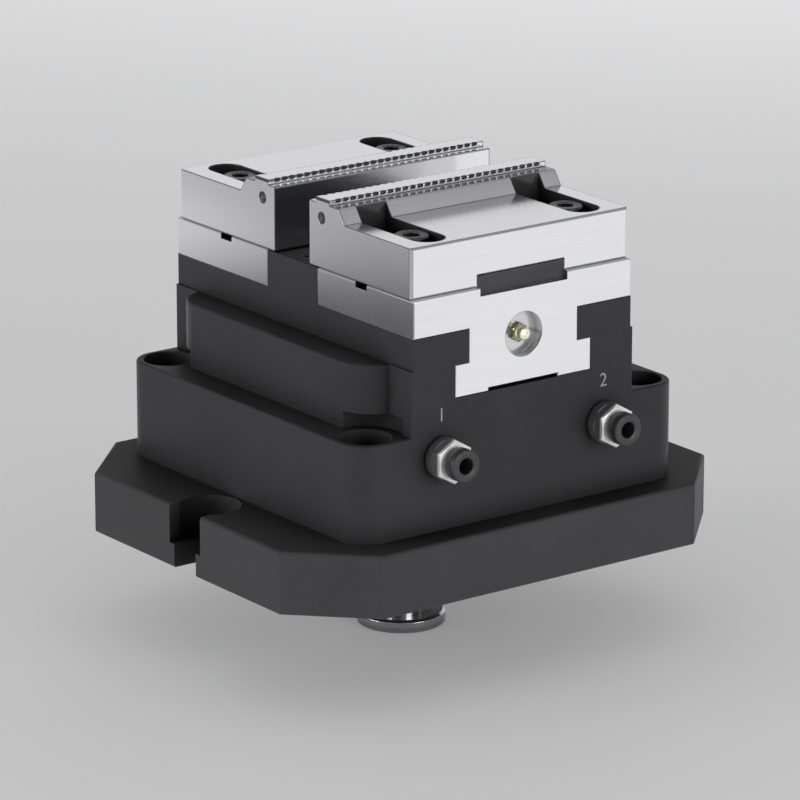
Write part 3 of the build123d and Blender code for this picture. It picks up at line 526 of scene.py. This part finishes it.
# Cylinder under the body: turned cover, piston with its rod, their seals and
# the guide band, all shut in between the body and the plate.
turned_rings, given, made = effect_group(
    "turned_rings", {"Vector": None, "Rings": 2600.0}, ("Tint", "Height")
)
parted = turned_rings.nodes.new("ShaderNodeSeparateXYZ")
flat_part = turned_rings.nodes.new("ShaderNodeVectorMath")
flat_part.operation = "MULTIPLY"
flat_part.inputs[1].default_value = (1, 1, 0)
from_axis = turned_rings.nodes.new("ShaderNodeVectorMath")
from_axis.operation = "LENGTH"
joined = turned_rings.nodes.new("ShaderNodeCombineXYZ")
turned_rings.links.new(given.outputs["Vector"], parted.inputs["Vector"])
turned_rings.links.new(given.outputs["Vector"], flat_part.inputs[0])
turned_rings.links.new(flat_part.outputs["Vector"], from_axis.inputs[0])
turned_rings.links.new(from_axis.outputs["Value"], joined.inputs["X"])
turned_rings.links.new(parted.outputs["Z"], joined.inputs["Y"])
fine_rings = noise(turned_rings, joined.outputs["Vector"], given.outputs["Rings"], 2.0)
turned_rings.links.new(span(turned_rings, fine_rings, 0.3, 0.7), made.inputs["Tint"])
turned_rings.links.new(fine_rings, made.inputs["Height"])

inner_aluminium = finish(
    "inner_aluminium", dark=(0.42, 0.42, 0.43, 1), light=(0.58, 0.58, 0.60, 1),
    smooth=0.30, rough=0.42, pattern=turned_rings, settings={"Rings": 1800.0},
    relief=0.3, metallic=1.0, specular=0.5, edge_mark_colour=(0.7, 0.7, 0.71, 1), edge_mark_share=0.4,
)
seal_rubber = finish(
    "seal_rubber", dark=(0.014, 0.014, 0.014, 1), light=(0.026, 0.026, 0.026, 1),
    smooth=0.45, rough=0.62, pattern=blasted, settings={"Grain": 2600.0, "Clouds": 120.0},
    relief=0.2, metallic=0.0, specular=0.4,
    edge_mark_colour=(0.05, 0.05, 0.05, 1), edge_mark_share=0.3,
)
band_plastic = finish(
    "band_plastic", dark=(0.46, 0.34, 0.20, 1), light=(0.58, 0.44, 0.27, 1),
    smooth=0.45, rough=0.6, pattern=blasted, settings={"Grain": 2200.0, "Clouds": 200.0},
    relief=0.2, metallic=0.0, specular=0.4,
    edge_mark_colour=(0.7, 0.58, 0.4, 1), edge_mark_share=0.3,
)
for node in ("bottom_cover", "piston"):
    dress(node, inner_aluminium)
for node in ("cover_seal", "piston_seal", "rod_seal", "tube_seal_1", "tube_seal_2"):
    dress(node, seal_rubber)
dress("guide_band", band_plastic)


# Wedge drive, dowels and small inner screws: hardened steel, ground or blacked.
# The screws of the centre cover show between the jaws, and the rest is shut in.
line_share = 0.6
line_stretch = (1.0, 0.012, 1.0)

# Lines of a surface grinder: noise drawn out along Y, over slow patches.
ground_lines, given, made = effect_group(
    "ground_lines", {"Vector": None, "Lines": 1700.0, "Clouds": 14.0}, ("Tint", "Height")
)
drawn_out = ground_lines.nodes.new("ShaderNodeVectorMath")
drawn_out.operation = "MULTIPLY"
drawn_out.inputs[1].default_value = line_stretch
ground_lines.links.new(given.outputs["Vector"], drawn_out.inputs[0])
fine_lines = noise(ground_lines, drawn_out.outputs["Vector"], given.outputs["Lines"], 3.0)
slow_tone = noise(ground_lines, given.outputs["Vector"], given.outputs["Clouds"], 2.0)
line_part = maths(ground_lines, "MULTIPLY", fine_lines, line_share)
slow_part = maths(ground_lines, "MULTIPLY", slow_tone, 1 - line_share)
line_tone = maths(ground_lines, "ADD", line_part, slow_part)
ground_lines.links.new(span(ground_lines, line_tone, 0.34, 0.66), made.inputs["Tint"])
ground_lines.links.new(fine_lines, made.inputs["Height"])

inner_steel = finish(
    "inner_steel", dark=(0.36, 0.36, 0.37, 1), light=(0.50, 0.50, 0.51, 1),
    smooth=0.22, rough=0.34, pattern=ground_lines, settings={"Lines": 1500.0, "Clouds": 30.0},
    relief=0.3, metallic=1.0, specular=0.5,
    edge_mark_colour=(0.7, 0.7, 0.7, 1), edge_mark_share=0.5,
)
black_screw = finish(
    "black_screw", dark=(0.030, 0.030, 0.032, 1), light=(0.055, 0.055, 0.058, 1),
    smooth=0.34, rough=0.5, pattern=blasted, settings={"Grain": 2400.0, "Clouds": 160.0},
    relief=0.25, metallic=0.35, specular=0.5,
    edge_mark_colour=(0.3, 0.3, 0.31, 1), edge_mark_share=0.6, edge_mark_width=0.2,
)
for node in ("wedge_hook", "dowel_pins"):
    dress(node, inner_steel)
for node in ("wedge_screw", "cover_screws", "centre_cover_screws", "passage_plug"):
    dress(node, black_screw)
for side in ("right", "left"):
    dress(f"tenon_screw_{side}", black_screw)


# Base jaws and top jaws: hardened steel, ground all over and polished, so that
# the long faces mirror what stands near them, dark and dull in the screw pockets,
# with painted shade in the teeth's notches and on the ledge beside the rib, and
# painted dark lines along the edges. The rib's teeth are part of the solid.
jaw_dark = (0.775, 0.775, 0.785, 1)
jaw_light = (0.815, 0.815, 0.825, 1)
painted_edge_line_colour = (0.03, 0.03, 0.032, 1)
pocket_and_shade_colour = (0.045, 0.045, 0.047, 1)
pocket_r = 6.75 * mm
pocket_y = 35.5 * mm
pocket_start_x = 28.95 * mm
pocket_round_x = 63.3 * mm
notch_x = (15.03 * mm, 23.47 * mm)
notch_z = (137.85 * mm, 138.97 * mm)
ledge_x = (23.48 * mm, 29 * mm)
ledge_z = (136.95 * mm, 137.05 * mm)
ledge_share = 0.6


def between(tree, value, low, high):
    """1 where a value lies between two numbers, and 0 elsewhere."""
    above = maths(tree, "GREATER_THAN", value, low)
    return maths(tree, "MULTIPLY", above, maths(tree, "LESS_THAN", value, high))


# Dark and dull in a screw pocket, whose middle line is nearer than its radius, and
# painted shade in the notches between the teeth and partly on the narrow ledge beside the rib.
dark_pockets_and_shade, given, made = effect_group("dark_pockets_and_shade", {"Vector": None}, ("Mask",))
apart = dark_pockets_and_shade.nodes.new("ShaderNodeSeparateXYZ")
dark_pockets_and_shade.links.new(given.outputs["Vector"], apart.inputs["Vector"])
out_x = maths(dark_pockets_and_shade, "ABSOLUTE", apart.outputs["X"], 0.0)
out_y = maths(dark_pockets_and_shade, "SUBTRACT", maths(dark_pockets_and_shade, "ABSOLUTE", apart.outputs["Y"], 0.0), pocket_y)
over_x = maths(dark_pockets_and_shade, "MAXIMUM", maths(dark_pockets_and_shade, "SUBTRACT", out_x, pocket_round_x), 0.0)
square_x = maths(dark_pockets_and_shade, "MULTIPLY", over_x, over_x)
squares = maths(dark_pockets_and_shade, "ADD", square_x, maths(dark_pockets_and_shade, "MULTIPLY", out_y, out_y))
near_line = maths(dark_pockets_and_shade, "LESS_THAN", squares, pocket_r * pocket_r)
pocketed = maths(dark_pockets_and_shade, "MULTIPLY", near_line, maths(dark_pockets_and_shade, "GREATER_THAN", out_x, pocket_start_x))
in_notch = maths(
    dark_pockets_and_shade, "MULTIPLY", between(dark_pockets_and_shade, out_x, *notch_x), between(dark_pockets_and_shade, apart.outputs["Z"], *notch_z)
)
on_ledge = maths(
    dark_pockets_and_shade, "MULTIPLY", between(dark_pockets_and_shade, out_x, *ledge_x), between(dark_pockets_and_shade, apart.outputs["Z"], *ledge_z)
)
partly = maths(dark_pockets_and_shade, "MULTIPLY", on_ledge, ledge_share)
dulled_places = maths(dark_pockets_and_shade, "MAXIMUM", maths(dark_pockets_and_shade, "MAXIMUM", pocketed, in_notch), partly)
dark_pockets_and_shade.links.new(dulled_places, made.inputs["Mask"])

top_jaw_steel = finish(
    "top_jaw_steel", dark=jaw_dark, light=jaw_light,
    smooth=0.13, rough=0.19, pattern=ground_lines, settings={"Lines": 1500.0, "Clouds": 12.0},
    relief=0.03, metallic=1.0, specular=0.5, edge_mark_colour=painted_edge_line_colour, edge_mark_share=1.0, edge_mark_width=0.8,
    even=1.0, shade=dark_pockets_and_shade, shade_colour=pocket_and_shade_colour,
)
# Painted dark edge lines, and painted shade where the body shuts the base jaw in.
base_jaw_steel = finish(
    "base_jaw_steel", dark=jaw_dark, light=jaw_light,
    smooth=0.13, rough=0.19, pattern=ground_lines, settings={"Lines": 1500.0, "Clouds": 12.0},
    relief=0.03, metallic=1.0, specular=0.5, edge_mark_colour=painted_edge_line_colour, edge_mark_share=0.7, edge_mark_width=0.35, even=0.7,
    contact=0.45, reach=8.0,
)
for side in ("right", "left"):
    merged_copy(f"base_jaw_{side}", f"lower_{side}", base_jaw_steel, f"jaw_{side}")
    merged_copy(f"top_jaw_{side}", f"upper_{side}", top_jaw_steel, f"jaw_{side}")


# Keys between top and base jaw: plain ground bars, blacked. The tenon key shows
# its end in the middle of the jaw's outer face, and the cross key is hidden.
black_key = finish(
    "black_key", dark=(0.036, 0.036, 0.038, 1), light=(0.056, 0.056, 0.059, 1),
    smooth=0.35, rough=0.5, pattern=ground_lines, settings={"Lines": 1300.0, "Clouds": 60.0},
    relief=0.25, metallic=0.4, specular=0.4,
    edge_mark_colour=(0.3, 0.3, 0.31, 1), edge_mark_share=0.5, edge_mark_width=0.25,
)
for side in ("right", "left"):
    dress(f"cross_key_{side}", black_key)
    dress(f"tenon_key_{side}", black_key)


# Socket screws: two in the long pockets of each top jaw and four in the skirt's
# corner pockets. Cold-headed, knurled round the head and blacked, with a hexagon.
knurl_ridges = 42
knurl_spokes = 4 * knurl_ridges
knurl_depth = 0.22 * mm
head_bevel_share = 0.08
hex_socket_share = 0.55
socket_mouth_share = 1.22
jaw_screw = {"head_r": 6.5 * mm, "head_h": 8.0 * mm, "shank_r": 4.0 * mm, "hex_flat": 6.0 * mm}
corner_screw = {"head_r": 9.0 * mm, "head_h": 12.0 * mm, "shank_r": 6.0 * mm, "hex_flat": 10.0 * mm}


def turned_points(rows, spokes, ridges=0, ridge_depth=0.0):
    """Round body on a grid: one parameter runs down a profile whose rows hold
    height, radius, share of hexagon and share of knurl, the other goes round. The
    radius is the circle's, drawn out to a hexagon's corners by the share, less a
    cosine ripple for the knurl."""
    table = np.array(rows, float)
    height, radius, hexagon, knurl = (table[:, column][:, None] for column in range(4))
    turn = np.linspace(0, 2 * np.pi, spokes, endpoint=False)[None, :]
    to_flat = np.cos(np.mod(turn + np.pi / 6, np.pi / 3) - np.pi / 6)
    reach = radius * (1 - hexagon + hexagon / to_flat)
    reach = reach - ridge_depth * knurl * (0.5 - 0.5 * np.cos(ridges * turn))
    return np.stack((reach * np.cos(turn), reach * np.sin(turn), height + 0 * turn), axis=-1)


def screw_points(head_r, head_h, shank_r, shank_length, hex_flat):
    """Socket screw standing on its seat: shank, knurled head, bevel and socket."""
    bevel = head_bevel_share * head_r
    socket_bottom = head_h * (1 - hex_socket_share)
    rows = (
        (-shank_length, 0, 0, 0),
        (-shank_length, shank_r, 0, 0),
        (0, shank_r, 0, 0),
        (0, head_r - bevel / 2, 0, 0),
        (bevel / 2, head_r, 0, 0),
        (bevel, head_r, 0, 1),
        (head_h - 2.4 * bevel, head_r, 0, 1),
        (head_h - 1.6 * bevel, head_r, 0, 0),
        (head_h - bevel, head_r, 0, 0),
        (head_h, head_r - bevel, 0, 0),
        (head_h, socket_mouth_share * hex_flat / 2, 0, 0),
        (head_h - 0.5 * bevel, hex_flat / 2, 1, 0),
        (socket_bottom, hex_flat / 2, 1, 0),
        (socket_bottom - 0.25 * hex_flat, 0, 0, 0),
    )
    return turned_points(rows, knurl_spokes, knurl_ridges, knurl_depth)


def joined_mesh(name, grids):
    """One mesh from several grids of points of the same kind, each a closed body."""
    mesh = bpy.data.meshes.new(name)
    work = bmesh.new()
    for grid in grids:
        piece = grid_mesh(name, grid)
        work.from_mesh(piece)
        bpy.data.meshes.remove(piece)
    work.to_mesh(mesh)
    work.free()
    return mesh


def socket_screws(node, name, body, slot_name, material, head_r, head_h, shank_r, hex_flat):
    """Screws for a CAD group of them, placed and sized by that group's own box."""
    low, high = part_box(node)
    grids = []
    xs = sorted({round(low.x + head_r, 6), round(high.x - head_r, 6)})
    for x in xs:
        for y in (low.y + head_r, high.y - head_r):
            seat = high.z - head_h
            points = screw_points(head_r, head_h, shank_r, seat - low.z, hex_flat)
            grids.append(points + np.array((x, y, seat)))
    piece = place_mesh(joined_mesh(name, grids), name, 34)
    piece.data.materials.append(material)
    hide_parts(node)
    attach(piece, body)
    return piece


jaw_screw_steel = finish(
    "jaw_screw_steel", dark=(0.045, 0.045, 0.047, 1), light=(0.10, 0.10, 0.103, 1),
    smooth=0.28, rough=0.42, pattern=turned_rings, settings={"Rings": 1500.0},
    relief=0.25, metallic=0.9, specular=0.5,
    edge_mark_colour=(0.55, 0.55, 0.56, 1), edge_mark_share=0.7, edge_mark_width=0.25,
)
for side in ("right", "left"):
    socket_screws(
        f"jaw_screws_{side}", f"jaw_screw_pair_{side}", f"jaw_{side}", "jaw_screw_steel",
        jaw_screw_steel, **jaw_screw,
    )
socket_screws("body_screws", "corner_screws", "vise", "black_screw", black_screw, **corner_screw)


# Grease nipples: one small plated nipple in each base jaw's outer end, with a
# hexagon foot, a waist, a rounded tip and the check ball in its mouth.
nipple_hex_flat = 6.6 * mm
nipple_bore = 4.0 * mm
nipple_proud = 1.2 * mm
nipple_spokes = 72
nipple_foot_rows = 6
nipple_brass = finish(
    "nipple_brass", dark=(0.20, 0.20, 0.12, 1), light=(0.34, 0.34, 0.22, 1),
    smooth=0.24, rough=0.36, pattern=turned_rings, settings={"Rings": 2400.0},
    relief=0.2, metallic=1.0, specular=0.5,
    edge_mark_colour=(0.6, 0.6, 0.44, 1), edge_mark_share=0.5, edge_mark_width=0.15,
)
nipple_head = finish(
    "nipple_head", dark=(0.74, 0.76, 0.52, 1), light=(0.90, 0.91, 0.70, 1),
    smooth=0.25, rough=0.36, pattern=turned_rings, settings={"Rings": 2400.0},
    relief=0.15, metallic=0.85, specular=0.5,
    edge_mark_colour=(0.95, 0.95, 0.85, 1), edge_mark_share=0.5, edge_mark_width=0.15,
)


def laid_along_x(points, origin, outward):
    """Turned points, made round Z, laid with their height along +X or -X."""
    across, upward, height = points[..., 0], points[..., 1], points[..., 2]
    laid = np.stack((outward * height, outward * across, upward), axis=-1)
    return laid + np.array(origin)


for side, outward in (("right", 1), ("left", -1)):
    low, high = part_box(f"grease_nipple_{side}")
    tip_x = high.x if outward > 0 else low.x
    foot_x = low.x if outward > 0 else high.x
    middle_z = (low.z + high.z) / 2
    seat = nipple_bore + nipple_proud
    length = abs(tip_x - foot_x)
    rows = (
        (-length, 0, 0, 0),
        (-length, 3.0 * mm, 0, 0),
        (-seat, 3.0 * mm, 0, 0),
        (-seat, nipple_hex_flat / 2, 1, 0),
        (-seat + 1.25 * mm, nipple_hex_flat / 2, 1, 0),
        (-seat + 1.6 * mm, nipple_hex_flat / 2 - 0.1 * mm, 0, 0),
        (-seat + 1.6 * mm, 2.3 * mm, 0, 0),
        (-seat + 2.1 * mm, 1.75 * mm, 0, 0),
        (-1.75 * mm, 1.65 * mm, 0, 0),
        (-1.45 * mm, 1.75 * mm, 0, 0),
        (-1.05 * mm, 2.3 * mm, 0, 0),
        (-0.75 * mm, 2.42 * mm, 0, 0),
        (-0.45 * mm, 2.35 * mm, 0, 0),
        (-0.12 * mm, 1.9 * mm, 0, 0),
        (0, 1.55 * mm, 0, 0),
        (0, 0.85 * mm, 0, 0),
        (-0.3 * mm, 0.7 * mm, 0, 0),
        (-0.25 * mm, 0.5 * mm, 0, 0),
        (-0.12 * mm, 0.25 * mm, 0, 0),
        (-0.08 * mm, 0, 0, 0),
    )
    points = laid_along_x(turned_points(rows, nipple_spokes), (tip_x, 0, middle_z), outward)
    mesh = grid_mesh(f"nipple_{side}", points)
    row_of_face = np.arange(len(mesh.polygons)) // nipple_spokes
    mesh.materials.append(nipple_brass)
    mesh.materials.append(nipple_head)
    mesh.polygons.foreach_set("material_index", (row_of_face >= nipple_foot_rows).astype(np.int32))
    nipple = place_mesh(mesh, f"nipple_{side}", 40)
    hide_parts(f"grease_nipple_{side}")
    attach(nipple, f"jaw_{side}")


# Tapped holes for a work stop, one in each cheek of a top jaw: an M5 thread, cut
# as one helical ridge that starts and ends in the wall.
stop_wall_r = 2.1 * mm
stop_crest_r = 1.92 * mm
stop_pitch = 0.8 * mm
stop_depth = 9.0 * mm
stop_inset_x = 7.7 * mm
stop_below_top = 7.5 * mm
stop_run_out = 0.6


def thread_ridge(length, pitch, wall_r, crest_r, steps_a_turn=28):
    """Helical ridge: one parameter winds down the hole, the other goes round the
    ridge's own section, whose crest sinks into the wall over the run-out's turns."""
    turns = length / pitch
    wind = np.linspace(0, 2 * np.pi * turns, int(turns * steps_a_turn))[:, None]
    ends = np.clip(np.minimum(wind, wind[-1] - wind) / (2 * np.pi * stop_run_out), 0, 1)
    section = np.array(((-0.36, 0), (-0.07, 1), (0.07, 1), (0.36, 0), (0, -0.6)))
    along = pitch * section[:, 0][None, :] * ends
    rise = section[:, 1][None, :] * (wall_r - crest_r) * ends
    reach = wall_r + 0.02 * mm - rise
    depth = wind / (2 * np.pi) * pitch + 0.5 * pitch + along
    return np.stack((reach * np.cos(wind), reach * np.sin(wind), depth), axis=-1)


for side, outward in (("right", 1), ("left", -1)):
    low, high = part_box(f"top_jaw_{side}")
    clamp_x = low.x if outward > 0 else high.x
    hole_x = clamp_x + outward * stop_inset_x
    hole_z = high.z - stop_below_top
    for end, cheek_y in (("front", low.y), ("back", high.y)):
        ridge = thread_ridge(stop_depth, stop_pitch, stop_wall_r, stop_crest_r)
        across, upward, depth = ridge[..., 0], ridge[..., 1], ridge[..., 2]
        inward = 1 if end == "front" else -1
        points = np.stack((hole_x + across, cheek_y + inward * depth, hole_z + upward), axis=-1)
        name = f"stop_thread_{side}_{end}"
        thread = place_mesh(grid_mesh(name, points), name, 50)
        thread.data.materials.append(base_jaw_steel)
        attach(thread, f"jaw_{side}")


# Push-in air fittings: rubber washer, nickel-plated brass body with a collar and
# a chamfered hexagon, and the black release ring that is pressed to free the tube.
collar_front_x = 82.2 * mm

# Painted reflection: the fitting's collar and the back of its hexagon are painted dull and dark, for the dark
# body mirrored in them.
on_collar, given, made = effect_group("on_collar", {"Vector": None}, ("Mask",))
collar_axes = on_collar.nodes.new("ShaderNodeSeparateXYZ")
on_collar.links.new(given.outputs["Vector"], collar_axes.inputs["Vector"])
behind_front = maths(on_collar, "LESS_THAN", collar_axes.outputs["X"], collar_front_x)
on_collar.links.new(behind_front, made.inputs["Mask"])

nickel = finish(
    "nickel", dark=(0.80, 0.80, 0.79, 1), light=(0.92, 0.92, 0.91, 1),
    smooth=0.30, rough=0.42, pattern=turned_rings, settings={"Rings": 1900.0},
    relief=0.15, metallic=0.3, specular=0.5,
    edge_mark_colour=(0.88, 0.87, 0.85, 1), edge_mark_share=0.4, edge_mark_width=0.2,
    shade=on_collar, shade_colour=(0.14, 0.14, 0.145, 1),
)
ring_plastic = finish(
    "ring_plastic", dark=(0.026, 0.026, 0.028, 1), light=(0.044, 0.044, 0.047, 1),
    smooth=0.36, rough=0.5, pattern=blasted, settings={"Grain": 2000.0, "Clouds": 180.0},
    relief=0.2, metallic=0.0, specular=0.4,
    edge_mark_colour=(0.11, 0.11, 0.115, 1), edge_mark_share=0.5, edge_mark_width=0.2,
)
washer_hole_r = 5.0 * mm
washer_bulge = 0.35 * mm
ring_edge = 0.7 * mm
ring_flange_t = 4.8 * mm
ring_back_edge = 0.3 * mm
ring_mouth = 0.5 * mm
sleeve_r = 4.25 * mm
tube_hole_r = 3.1 * mm
turned_spokes = 96
for number in (1, 2):
    low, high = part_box(f"port_washer_{number}")
    washer_r = (high.y - low.y) / 2
    port_y = (high.y + low.y) / 2
    port_z = (high.z + low.z) / 2
    washer_t = high.x - low.x
    rows = (
        (0, washer_hole_r, 0, 0),
        (0, washer_r - washer_bulge, 0, 0),
        (0.3 * washer_t, washer_r, 0, 0),
        (0.7 * washer_t, washer_r, 0, 0),
        (washer_t, washer_r - washer_bulge, 0, 0),
        (washer_t, washer_hole_r, 0, 0),
        (0, washer_hole_r, 0, 0),
    )
    points = laid_along_x(turned_points(rows, turned_spokes), (low.x, port_y, port_z), 1)
    washer = place_mesh(grid_mesh(f"washer_{number}", points), f"washer_{number}", 60)
    washer.data.materials.append(seal_rubber)
    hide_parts(f"port_washer_{number}")
    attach(washer, "vise")

    low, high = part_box(f"release_ring_{number}")
    flange_r = (high.y - low.y) / 2
    length = high.x - low.x
    rows = (
        (-length, tube_hole_r, 0, 0),
        (-length, sleeve_r, 0, 0),
        (-ring_flange_t, sleeve_r, 0, 0),
        (-ring_flange_t, flange_r - ring_back_edge, 0, 0),
        (-ring_flange_t + ring_back_edge, flange_r, 0, 0),
        (-ring_edge, flange_r, 0, 0),
        (-0.62 * ring_edge, flange_r - 0.08 * mm, 0, 0),
        (-0.2 * ring_edge, flange_r - 0.3 * mm, 0, 0),
        (0, flange_r - ring_edge, 0, 0),
        (0, tube_hole_r + ring_mouth, 0, 0),
        (-0.35 * mm, tube_hole_r, 0, 0),
        (-length, tube_hole_r, 0, 0),
    )
    points = laid_along_x(turned_points(rows, turned_spokes), (high.x, port_y, port_z), 1)
    ring = place_mesh(grid_mesh(f"ring_{number}", points), f"ring_{number}", 50)
    ring.data.materials.append(ring_plastic)
    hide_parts(f"release_ring_{number}")
    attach(ring, f"ring_{number}")
    merged_copy(f"fitting_body_{number}", f"fitting_{number}", nickel, "vise", 28)


# Port numbers: a plain 1 and 2 printed above the two air ports in light grey.
digit_height = 5.2 * mm
digit_above_port = 13.4 * mm
digit_thickness = 0.03 * mm
capital_share = 0.7
print_grey = finish(
    "print_grey", dark=(0.30, 0.30, 0.31, 1), light=(0.42, 0.42, 0.43, 1),
    smooth=0.5, rough=0.65, pattern=blasted, settings={"Grain": 2600.0, "Clouds": 300.0},
    relief=0.1, metallic=0.0, specular=0.3,
    edge_mark_colour=(0.3, 0.3, 0.3, 1), edge_mark_share=0.0,
)
for number in (1, 2):
    low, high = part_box(f"port_washer_{number}")
    letters = bpy.data.curves.new(f"port_number_{number}", "FONT")
    letters.body = str(number)
    letters.size = digit_height / capital_share
    letters.align_x = "CENTER"
    letters.extrude = digit_thickness
    holder = bpy.data.objects.new(f"port_number_{number}", letters)
    bpy.context.scene.collection.objects.link(holder)
    bpy.context.view_layer.update()
    flat_digit = bpy.data.meshes.new_from_object(holder)
    bpy.data.objects.remove(holder)
    corners = np.empty(len(flat_digit.vertices) * 3)
    flat_digit.vertices.foreach_get("co", corners)
    corners = corners.reshape(-1, 3)
    stood = np.stack(
        (
            low.x + corners[:, 2],
            (low.y + high.y) / 2 + corners[:, 0],
            (low.z + high.z) / 2 + digit_above_port + corners[:, 1],
        ),
        axis=-1,
    )
    flat_digit.vertices.foreach_set("co", stood.reshape(-1))
    digit = place_mesh(flat_digit, f"port_digit_{number}")
    digit.data.materials.clear()
    digit.data.materials.append(print_grey)
    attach(digit, "vise")


# Pull stud: turned, hardened and polished, screwed into the plate from below.
# Contact paints shade on the stud where the plate shuts it in.
stud_chrome = finish(
    "stud_chrome", dark=(0.40, 0.40, 0.41, 1), light=(0.56, 0.56, 0.57, 1),
    smooth=0.08, rough=0.18, pattern=turned_rings, settings={"Rings": 2100.0},
    relief=0.22, metallic=1.0, specular=0.5,
    edge_mark_colour=(0.9, 0.9, 0.9, 1), edge_mark_share=0.3, edge_mark_width=0.3, contact=0.7, reach=12.0,
)
merged_copy("pull_stud", "stud", stud_chrome, "vise", 28)
